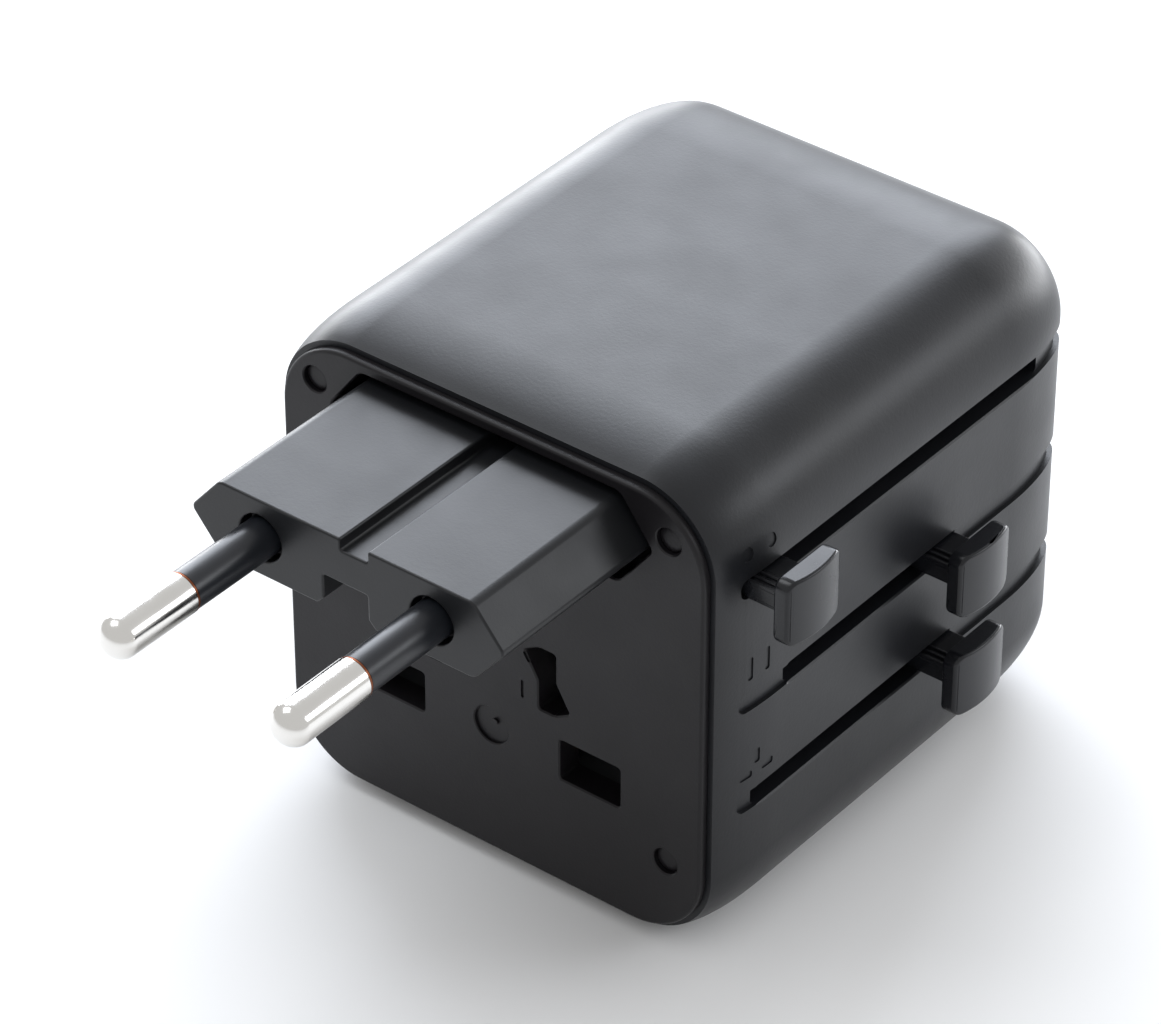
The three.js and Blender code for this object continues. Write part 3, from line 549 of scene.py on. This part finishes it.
# %% [markdown]
# The three sliders run in slots through the right side. Each slot's line goes on as a shallow
# groove over the rear edge. A slot's cutter has a flared mouth, which leaves the small chamfer
# that a moulded edge has. The groove's cutter is a flat bar from which a slightly smaller copy of
# the shell is taken, so its floor follows the curve.

# %% Slots and grooves
side_x = shell_high.x
slot_play = 0.23
slider_travel = {"eu": 38.3, "us": -20.2, "uk": -24.4}
tab_length = 7.6
stem_length = 5.0
stem_height = 1.6
slot_height = stem_height + 2 * slot_play
slot_room = 0.3
groove_start = front_y + 2.6
side_cut = 4


def tab_middle(plug):
    low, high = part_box(plug + "_tab")
    return (low + high) / 2 / MM


def slot_span(plug):
    y = tab_middle(plug).y
    reach = stem_length / 2 + slot_room
    ends = sorted((y, y + slider_travel[plug]))
    return ends[0] - reach, ends[1] + reach


def funnel_x(name, y, z, size, radius, x_face, depth, flare):
    """A cutter for a hole in the side at x_face, with a chamfered mouth."""
    grow = lift + flare
    piece = plate(name, "X", (x_face + lift, y, z), grown(size, grow), radius + grow, 6)
    carry(dx=0)
    shrink(grow, dx=-grow)
    carry(dx=flare - depth)
    close_back(piece, 0, x_face + lift)
    return done(piece)


def slot_cutter(plug):
    y0, y1 = slot_span(plug)
    z = tab_middle(plug).z
    size = (y1 - y0, slot_height)
    return funnel_x(plug + "_slot", (y0 + y1) / 2, z, size, 0.5, side_x, side_cut, 0.15)


def groove_cutter(plug):
    z = tab_middle(plug).z
    length = rear_y - groove_start + 10
    piece = plate(plug + "_groove", "X", (side_x + 1, groove_start + length / 2, z),
                  (length, slot_height), 0.9, 6)
    carry(dx=-10)
    close_back(piece, 0, side_x + 1)
    done(piece)
    return cut(piece, hull("groove_core", groove_depth))


for plug in slider_travel:
    cut(shell, groove_cutter(plug), slot_cutter(plug))
    print(plug, "slot from y", [round(v, 1) for v in slot_span(plug)])

# %% [markdown]
# Two charging ports open in the left side. Their openings are cut like the slots, from the other
# side.

# %% Port openings
port_play = 0.3


def port_cutter(node):
    low, high = (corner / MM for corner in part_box(node))
    middle = (low + high) / 2
    size = grown((high.y - low.y, high.z - low.z), port_play)
    piece = funnel_x(node + "_opening", middle.y, middle.z, size, 0.6, side_x, side_cut, 0.3)
    bpy.ops.object.select_all(action="DESELECT")
    piece.select_set(True)
    bpy.ops.transform.mirror(constraint_axis=(True, False, False))
    bpy.ops.object.transform_apply(location=True, rotation=True, scale=True)
    bpy.ops.object.mode_set(mode="EDIT")
    return done(piece)


ports = ("usb_shell_lower", "usb_shell_upper")
for port in ports:
    cut(shell, port_cutter(port))
print("charging port openings:", len(ports))

# %% [markdown]
# A sunk pictogram of the pins beside each slot shows which plug its slider moves: two dots, two
# bars, or three bars. The pegs that cut them reach deep into the side, and a copy of the shell
# that is smaller by the depth of the engraving is taken from them, so the floor of each mark
# follows the curve of the wall.

# %% Pictograms beside the slots
mark_depth = 0.12
mark_y = -21.6
mark_z = {"round": 42.9, "flat": 30.7, "earth": 20.7, "square": 19.1}
dot, bar = (1.3, 1.3), (0.6, 2.4)
upright_pin, level_pin = (0.7, 1.5), (1.5, 0.7)


def peg(name, y, z, size, radius):
    piece = plate(name, "X", (side_x + 1, y, z), size, radius, 8)
    carry(dx=-side_cut)
    close_back(piece, 0, side_x + 1)
    return done(piece)


marks = join(
    peg("pictograms", mark_y - 1.5, mark_z["round"], dot, 0.6),
    peg("round_pin_mark", mark_y + 1.5, mark_z["round"], dot, 0.6),
    peg("left_blade_mark", mark_y - 1.1, mark_z["flat"], bar, 0.2),
    peg("right_blade_mark", mark_y + 1.1, mark_z["flat"], bar, 0.2),
    peg("earth_pin_mark", mark_y, mark_z["earth"], upright_pin, 0.2),
    peg("line_pin_mark", mark_y - 1.4, mark_z["square"], level_pin, 0.2),
    peg("neutral_pin_mark", mark_y + 1.4, mark_z["square"], level_pin, 0.2),
)
cut(marks, hull("mark_core", mark_depth))
cut(shell, marks)
print("pictograms are sunk by", mark_depth, "mm")

# %% [markdown]
# The side that the block rests on has a shallow recess, so that it stands on four low pads at its
# corners.

# %% Recess in the rest side
recess_depth = 0.3
recess_middle = -1.25
long_recess, cross_recess = (27.2, 37.5), (32.4, 27.5)


def recess_tool(name, size):
    piece = plate(name, "Z", (0, recess_middle, -1), size, 1.0, 6)
    carry(dz=1 + recess_depth)
    close_back(piece, 2, -1)
    return done(piece)


cut(shell, recess_tool("long_recess", long_recess), recess_tool("cross_recess", cross_recess))
hand_over(shell, shell_plastic, "housing", "shell", "shell")

# %% [markdown]
# ## Plug plate
# The plate closes the plug end and stands a little proud of the shell, inside its edge, so a
# narrow step of the shell shows all round. Its front edge has a small fillet. It starts as a face
# at the back of the rim.

# %% Plug plate
plate_low, plate_high = (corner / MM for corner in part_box("plug_plate"))
face_y = plate_low.y
fillet = 0.35
plate_inset = (width - (plate_high.x - plate_low.x)) / 2
plate_play = 0.12
rim_back = front_y - 0.05


def fillet_edge(way):
    """Rounds the border of the selected face by a quarter circle, towards -Y or +Y."""
    count = 5
    for i in range(1, count + 1):
        a, b = (math.pi / 2 * (i - 1) / count, math.pi / 2 * i / count)
        shrink(fillet * (math.cos(a) - math.cos(b)), dy=way * fillet * (math.sin(b) - math.sin(a)))


plug_plate = section("plug_plate_moulding", plate_inset, rim_back)
carry(dy=face_y + fillet - rim_back)
fillet_edge(-1)
close_back(plug_plate, 1, rim_back)
bpy.ops.mesh.inset(thickness=(wall + plate_play - plate_inset) * MM, depth=0)
carry(dy=plate_high.y - rim_back)
done(plug_plate)
print("plug plate stands proud by", round(front_y - face_y, 2), "mm")

# %% [markdown]
# The round-pin plug comes out through a hexagonal opening with a pin slot below it for the earth
# pin. Lower down are the two slots for the square pins and the two crossed slots for the flat
# blades, which can stand upright or slanted. Each opening is cut with a flared tool, which leaves
# a fine chamfer that catches the light.

# %% Openings in the plug plate
eu_z = 42.8
eu_half = 3.93
eu_flat = 13.9
eu_tip = 17.25
earth_z = 37.78
uk_z = 15.55
uk_x = 22.23 / 2
us_z = 23.45
us_x = 6.35
chamfer = 0.14
plate_cut = 5
blade_slant = math.pi / 6


def hexagon(name, y, gap):
    """A six-sided face: a rectangle whose two ends are split and drawn out to points."""
    half_flat = eu_flat + gap / 2
    piece = plate(name, "Y", (0, y, eu_z), (2 * half_flat, 2 * (eu_half + gap)), 0)
    for side in (-1, 1):
        pick(piece, "edges", lambda c: c.x * side > half_flat - 0.01)
        bpy.ops.mesh.subdivide(number_cuts=1)
        pick(piece, "verts", lambda c: c.x * side > half_flat - 0.01 and abs(c.z - eu_z) < 0.01)
        bpy.ops.transform.translate(value=(side * (eu_tip + gap - half_flat) * MM, 0, 0))
    return piece


def round_corners(piece, radius, segments=5):
    pick(piece, "verts", lambda c: True)
    round_vertices(radius, segments)
    bpy.ops.mesh.select_mode(type="FACE")
    bpy.ops.mesh.select_all(action="SELECT")


def hexagon_cutter(gap):
    grow = lift + chamfer
    piece = hexagon("eu_opening", face_y - lift, gap + grow)
    round_corners(piece, 0.9)
    carry(dy=0)
    shrink(grow, dy=grow)
    carry(dy=plate_cut)
    close_back(piece, 1, face_y - lift)
    return done(piece)


def tilt(piece, angle, x, z):
    """Turns a tool about a line along Y through (x, z)."""
    there = Matrix.Translation((x * MM, 0, z * MM))
    back = Matrix.Translation((-x * MM, 0, -z * MM))
    piece.data.transform(there @ Matrix.Rotation(angle, 4, "Y") @ back)
    return piece


def plate_hole(name, x, z, size):
    return funnel_y(name, x, z, size, 0.3, face_y, plate_cut, chamfer)


def blade_cutter(side, angle):
    tool = plate_hole("blade_slot", side * us_x, us_z, (1.95, 6.75))
    return tilt(tool, side * angle, side * us_x, us_z)


cut(plug_plate, hexagon_cutter(0.75))
cut(plug_plate, plate_hole("earth_slot", 0, earth_z, (4.5, 8.45)))
for side in (-1, 1):
    cut(plug_plate, plate_hole("uk_slot", side * uk_x, uk_z, (6.75, 4.35)))
    for angle in (0, -blade_slant):
        cut(plug_plate, blade_cutter(side, angle))
print("plug plate has", len(plug_plate.data.polygons), "faces after its openings")

# %% [markdown]
# Between the square-pin slots is a round dimple left by the mould, with a small raised gate mark
# in it. Four screws hold the plate, in sunk holes near its corners, and a plug of the same
# plastic covers each.

# %% Dimple and screw holes
def disc(name, x, y, z, radius, sides):
    """A flat round face that faces along -Y, in edit mode."""
    return fresh(bpy.ops.mesh.primitive_circle_add, name, vertices=sides, radius=radius * MM,
                 location=(x * MM, y * MM, z * MM), rotation=TURN["Y"], fill_type="NGON")


def drill_y(name, x, z, radius, y0, y1, sides=48, flare=0.0):
    """A round cutter along Y, with a wider mouth if it has a flare."""
    piece = disc(name, x, y0, z, radius + flare, sides)
    if flare:
        carry(dy=0)
        shrink(flare, dy=flare)
    carry(dy=y1 - y0 - flare)
    close_back(piece, 1, y0)
    return done(piece)


dimple_radius = 1.95
gate_radius = 0.32
hole_radius, way_radius, cover_radius = 1.32, 0.77, 1.25
cut(plug_plate, drill_y("dimple", 0, uk_z + 0.1, dimple_radius, face_y - lift, face_y + 0.35,
                        sides=64, flare=0.6))
join(plug_plate, drill_y("gate_mark", 0.3, uk_z + 0.5, gate_radius, face_y + 0.12, face_y + 0.6,
                         sides=24))
screw_covers = [name for name in frame["nodes"] if name.startswith("screw_cover_")]
for name in screw_covers:
    low, high = (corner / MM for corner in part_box(name))
    x, z = (low.x + high.x) / 2, (low.z + high.z) / 2
    cut(plug_plate, drill_y("screw_hole", x, z, hole_radius, face_y - lift, face_y + 2.0, 40, 0.62))
    cut(plug_plate, drill_y("screw_way", x, z, way_radius, face_y, face_y + plate_cut, 24))
print("screw holes:", len(screw_covers))



# %% [markdown]
# Short engraved strokes beside the blade slots show the two ways that the blades can stand.

# %% Engraved strokes
stroke_width = 0.32
stroke_depth = 0.18


def stroke(x0, z0, x1, z1):
    length = math.hypot(x1 - x0, z1 - z0)
    x, z = (x0 + x1) / 2, (z0 + z1) / 2
    tool = bar_y("stroke", x, z, (stroke_width, length), stroke_width / 2 - 0.01,
                 face_y - lift, face_y + stroke_depth, 4)
    return tilt(tool, math.atan2(x1 - x0, z1 - z0), x, z)


for side in (-1, 1):
    cut(plug_plate,
        stroke(side * 3.8, 25.66, side * 4.4, 24.73),
        stroke(side * 3.6, 22.43, side * 3.6, 20.46))
hand_over(plug_plate, plate_plastic_with_painted_shade, "housing", "plate", "plug_plate")

# %% [markdown]
# A screw cover is a small disc with a softly stepped front, set a little below the plate's face.

# %% Screw covers
for name in screw_covers:
    low, high = (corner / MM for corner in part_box(name))
    x, z = (low.x + high.x) / 2, (low.z + high.z) / 2
    cover = disc(name + "_cap", x, high.y, z, cover_radius, 40)
    carry(dy=low.y - high.y + 0.12)
    shrink(0.12, dy=-0.07)
    shrink(0.5, dy=-0.04)
    close_back(cover, 1, high.y)
    done(cover)
    hand_over(cover, plate_plastic_with_painted_shade, "housing", "plate", name)

# %% [markdown]
# ## Round-pin plug
# The plug body is a six-sided bar with a groove along the top and a channel below, which leaves
# room for the earth pin to pass. Its corners are soft. The arm that ties it to its slider is hidden
# inside the shell and is left out here.

# %% Round-pin plug body
eu_low, eu_high = (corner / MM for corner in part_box("eu_block"))
pin_x = 9.4
block_corner = 0.55
block = hexagon("round_pin_plug_body", eu_low.y, 0)
round_corners(block, block_corner, 6)
carry(dy=eu_high.y - block_corner - eu_low.y)
close_back(block, 1, eu_low.y)
done(block)
before_y, after_y = eu_low.y - 1, eu_high.y + 1
cut(block, bar_y("top_groove", 1.05, eu_z + eu_half + 1, (3.0, 4.3), 0.25, before_y, after_y))
channel_top = 42.15
channel_width = 4.9
mouth_width = 8
eu_floor = eu_z - eu_half
cut(block, bar_y("earth_channel", 0, channel_top - 3, (channel_width, 6), 0.25, before_y, after_y))
mouth = plate("channel_mouth", "Y", (0, before_y, eu_floor - 0.4), (mouth_width, 0.8), 0)
pick(mouth, "edges", lambda c: c.z > eu_floor - 0.1)
bpy.ops.transform.translate(value=(0, 0, 0.8 * MM))
bpy.ops.transform.resize(value=(channel_width / mouth_width, 1, 1))
pick(mouth, "faces", lambda c: True)
carry(dy=after_y - before_y)
close_back(mouth, 1, before_y)
cut(block, done(mouth))
for side in (-1, 1):
    cut(block, drill_y("pin_seat", side * pin_x, eu_z, 2.3, before_y, eu_low.y + 1.5, 56))
    cut(block, drill_y("pin_hole", side * pin_x, eu_z, 1.95, eu_low.y, eu_low.y + 4.2, 40))
    cut(block, drill_y("core_hole", side * pin_x, eu_z, 1.55, eu_low.y, eu_low.y + 9, 32))
soften(block, 0.22, 40)
hand_over(block, plug_plastic, "eu_plug", "shell", "eu_block")

# %% [markdown]
# ## Pins and sleeves
# A round pin is turned: its bare tip has a domed end, and behind it a thinner core runs in a
# sleeve that keeps fingers off the metal while the plug is half in. A line of points is the half
# profile, and spin turns it into the pin. The narrow copper band is where the plating stops, at
# the edge of the sleeve.

# %% Turned pieces
def turned(name, x, z, profile, steps=64):
    """Spins a half profile of (y, radius) points round a line along Y."""
    piece = fresh(bpy.ops.mesh.primitive_plane_add, name, size=MM)
    bpy.ops.mesh.delete(type="ONLY_FACE")
    sketch = bmesh.from_edit_mesh(piece.data)
    bmesh.ops.delete(sketch, geom=list(sketch.verts), context="VERTS")
    points = [sketch.verts.new((x * MM, y * MM, (z + r) * MM)) for y, r in profile]
    for a, b in zip(points, points[1:]):
        sketch.edges.new((a, b))
    bmesh.update_edit_mesh(piece.data)
    bpy.ops.mesh.select_all(action="SELECT")
    bpy.ops.mesh.spin(steps=steps, angle=2 * math.pi, center=(x * MM, 0, z * MM), axis=(0, 1, 0))
    bpy.ops.mesh.select_all(action="SELECT")
    bpy.ops.mesh.remove_doubles(threshold=0.002 * MM)
    return done(piece)


pin_radius, core_radius, sleeve_radius = 2.0, 1.5, 1.9
dome_length, bare_length, band_width = 1.7, 9.3, 0.22
quarter = [math.pi / 2 * i / 12 for i in range(13)]
for name in ("left", "right"):
    low, high = (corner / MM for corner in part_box("eu_pin_" + name))
    x = (low.x + high.x) / 2
    end = low.y + bare_length
    dome = [(low.y + dome_length * (1 - math.cos(a)), pin_radius * math.sin(a)) for a in quarter]
    pin = turned("round_pin_" + name, x, eu_z, dome + [
        (end - 0.05, pin_radius), (end, pin_radius - 0.05), (end, core_radius),
        (high.y, core_radius), (high.y, 0)])
    hand_over(pin, nickel_plate, "eu_plug", "nickel", "eu_pin_" + name)
    inner, outer = core_radius + 0.02, pin_radius - 0.04
    band = turned("plating_edge_" + name, x, eu_z, [
        (end + 0.02, inner), (end + 0.02, outer), (end + band_width, outer),
        (end + band_width, inner), (end + 0.02, inner)])
    hand_over(band, copper_band, "eu_plug", "brass")
    low, high = (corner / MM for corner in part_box("eu_sleeve_" + name))
    start = low.y + band_width
    inner = core_radius + 0.03
    sleeve = turned("pin_sleeve_" + name, x, eu_z, [
        (start, inner), (start, sleeve_radius - 0.08), (start + 0.06, sleeve_radius),
        (high.y, sleeve_radius), (high.y, inner), (start, inner)])
    hand_over(sleeve, sleeve_plastic, "eu_plug", "sleeve", "eu_sleeve_" + name)

# %% [markdown]
# ## Thumb tabs
# Each tab is a small plate that bows outwards, on a flat stem that runs in the slot. The bowed
# outline is a thin rectangle whose outer side is subdivided and pushed out along a curve, then
# carried up to the tab's height. A rounded block cut against it rounds its corners, and fine ribs
# on the stem stiffen it.

# %% Thumb tabs
tab = {"height": 6.7, "thin": 1.5, "bow": 0.68, "corner": 1.1, "gap": 3.3}
bow_parts = 24
rib_count, rib_step = 3, 0.75


def thumb_tab(plug):
    low, high = (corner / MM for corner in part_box(plug + "_tab"))
    y, z = (low.y + high.y) / 2, (low.z + high.z) / 2
    x0 = side_x + tab["gap"]
    outer = x0 + tab["thin"]
    foot = z - tab["height"] / 2
    size = (tab["thin"], tab_length)
    piece = plate(plug + "_thumb_tab", "Z", ((x0 + outer) / 2, y, foot), size, 0)
    pick(piece, "edges", lambda c: c.x > outer - 0.01)
    bpy.ops.mesh.subdivide(number_cuts=bow_parts - 1)
    for i in range(1, bow_parts):
        share = 2 * i / bow_parts - 1
        spot = y + share * tab_length / 2
        pick(piece, "verts", lambda c: c.x > outer - 0.01 and abs(c.y - spot) < 0.02)
        bpy.ops.transform.translate(value=(tab["bow"] * (1 - share ** 2) * MM, 0, 0))
    pick(piece, "faces", lambda c: True)
    carry(dz=tab["height"])
    close_back(piece, 2, foot)
    done(piece)
    rounding = plate("rounding", "X", (x0 + 5, y, z), (tab_length, tab["height"]), tab["corner"], 8)
    carry(dx=-6)
    close_back(rounding, 0, x0 + 5)
    combine(piece, "INTERSECT", [done(rounding)])
    soften(piece, 0.3, 35, 4)
    stem = plate("stem", "X", (x0 + 0.6, y, z), (stem_length, stem_height), 0.25, 3)
    carry(dx=low.x - x0 - 0.6)
    close_back(stem, 0, x0 + 0.6)
    done(stem)
    for i in range(rib_count):
        rib = plate("rib", "X", (x0 + 0.2, y - 2.3 + rib_step * i, z),
                    (0.3, stem_height + 0.36), 0.1, 2)
        carry(dx=-5.2)
        close_back(rib, 0, x0 + 0.2)
        join(stem, done(rib))
    join(piece, stem)
    return hand_over(piece, tab_plastic, plug + "_thumb_tab", "shell", plug + "_tab")


for plug in slider_travel:
    thumb_tab(plug)

# %% [markdown]
# ## Socket plate
# The socket end takes plugs of several kinds: each live opening joins a wide slot for a round or
# square pin with crossed slots for blades, and a taller slot takes the earth pin. The fuse sits
# behind a round cover with a slot.

# %% Socket plate
socket_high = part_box("socket_plate")[1] / MM
flange_front, flange_rear = 22.0, 23.45
flange_inset = wall + 0.3
lip = 4.72
socket_plate = section("socket_plate_moulding", flange_inset, flange_rear)
carry(dy=flange_front - flange_rear)
close_back(socket_plate, 1, flange_rear)
bpy.ops.mesh.inset(thickness=(lip - flange_inset) * MM, depth=0)
carry(dy=socket_high.y - fillet - flange_rear)
fillet_edge(1)
done(socket_plate)


def turned_round(piece):
    """Turns a cutter that was made facing -Y so that it faces +Y, keeping its x and z."""
    piece.data.transform(Matrix.Scale(-1, 4, (0, 1, 0)))
    bpy.context.view_layer.objects.active = piece
    bpy.ops.object.mode_set(mode="EDIT")
    return done(piece)


socket_cut = 8
live_x = 10.9
fuse_x, fuse_z = 15.5, 33.3


def socket_cutter(x, z, size, radius, angle=0.0):
    tool = funnel_y("socket_hole", x, z, size, radius, -socket_high.y, socket_cut, 0.4)
    return tilt(turned_round(tool), angle, x, z)


for side in (-1, 1):
    cut(socket_plate, socket_cutter(side * live_x, uk_z, (7.4, 5.2), 1.2))
    for angle in (0, -blade_slant):
        cut(socket_plate, socket_cutter(side * us_x, uk_z, (2.05, 6.85), 0.3, side * angle))
cut(socket_plate, socket_cutter(0, earth_z, (4.8, 8.75), 0.4))
outside = -socket_high.y
cut(socket_plate,
    turned_round(drill_y("fuse_seat", fuse_x, fuse_z, 4.32, outside - lift, outside + 1.75,
                         sides=64, flare=0.62)),
    turned_round(drill_y("fuse_way", fuse_x, fuse_z, 2.75, outside - 1, outside + socket_cut)))
hand_over(socket_plate, plate_plastic_with_painted_shade, "housing", "plate", "socket_plate")

# %% [markdown]
# The fuse cover is turned with a coin, so it has a slot across it. A button behind it presses on
# the fuse.

# %% Fuse cover
cover_low, cover_high = (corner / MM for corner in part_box("fuse_cover"))
cover_back = cover_high.y - 1.5
cover_disc = disc("fuse_cover_cap", fuse_x, cover_back, fuse_z, 4.18, 72)
carry(dy=1.3)
shrink(0.2, dy=0.2)
close_back(cover_disc, 1, cover_back)
done(cover_disc)
cut(cover_disc, bar_y("coin_slot", fuse_x, fuse_z, (5.6, 1.0), 0.3,
                      cover_high.y - 0.8, cover_high.y + 1))
join(cover_disc, drill_y("fuse_button", fuse_x, fuse_z, 2.58, cover_low.y, cover_high.y - 1.2))
soften(cover_disc, 0.08, 50, 2)
hand_over(cover_disc, shell_plastic, "housing", "shell", "fuse_cover")

# %% [markdown]
# ## Charging ports
# A port is a drawn steel sleeve round a white tongue, with four gold-coloured contacts on the
# tongue's underside.

# %% Charging ports
steel_thickness = 0.35
contact_count, contact_step = 4, 7 / 3
for level in ("lower", "upper"):
    low, high = (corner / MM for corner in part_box("usb_shell_" + level))
    y, z = (low.y + high.y) / 2, (low.z + high.z) / 2
    size = (high.y - low.y, high.z - low.z)
    sleeve = plate("port_sleeve_" + level, "X", (high.x, y, z), size, 0.6, 6)
    carry(dx=low.x - high.x)
    close_back(sleeve, 0, high.x)
    done(sleeve)
    hollow = plate("hollow", "X", (high.x - 1, y, z), grown(size, -steel_thickness), 0.4, 6)
    carry(dx=low.x - high.x - 1)
    close_back(hollow, 0, high.x - 1)
    cut(sleeve, done(hollow))
    soften(sleeve, 0.08, 50, 2)
    hand_over(sleeve, port_steel, "housing", "steel", "usb_shell_" + level)
    tongue_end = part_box("usb_tongue_" + level)[0].x / MM
    tongue_root = high.x - 1.1
    tongue = plate("port_tongue_" + level, "X", (tongue_root, y, z + 1.125), (11, 1.85), 0.2, 3)
    carry(dx=tongue_end + 0.3 - tongue_root)
    shrink(0.25, dx=-0.3)
    close_back(tongue, 0, tongue_root)
    done(tongue)
    hand_over(tongue, tongue_plastic, "housing", "sleeve", "usb_tongue_" + level)
    contact_root = high.x - 3
    for i in range(contact_count):
        spot = (contact_root, y - 3.5 + contact_step * i, z + 0.12)
        contact = plate("port_contact_%s_%d" % (level, i + 1), "X", spot, (1.2, 0.2), 0.05, 2)
        carry(dx=tongue_end + 1.5 - contact_root)
        close_back(contact, 0, contact_root)
        done(contact)
        hand_over(contact, stamped_brass, "housing", "brass")
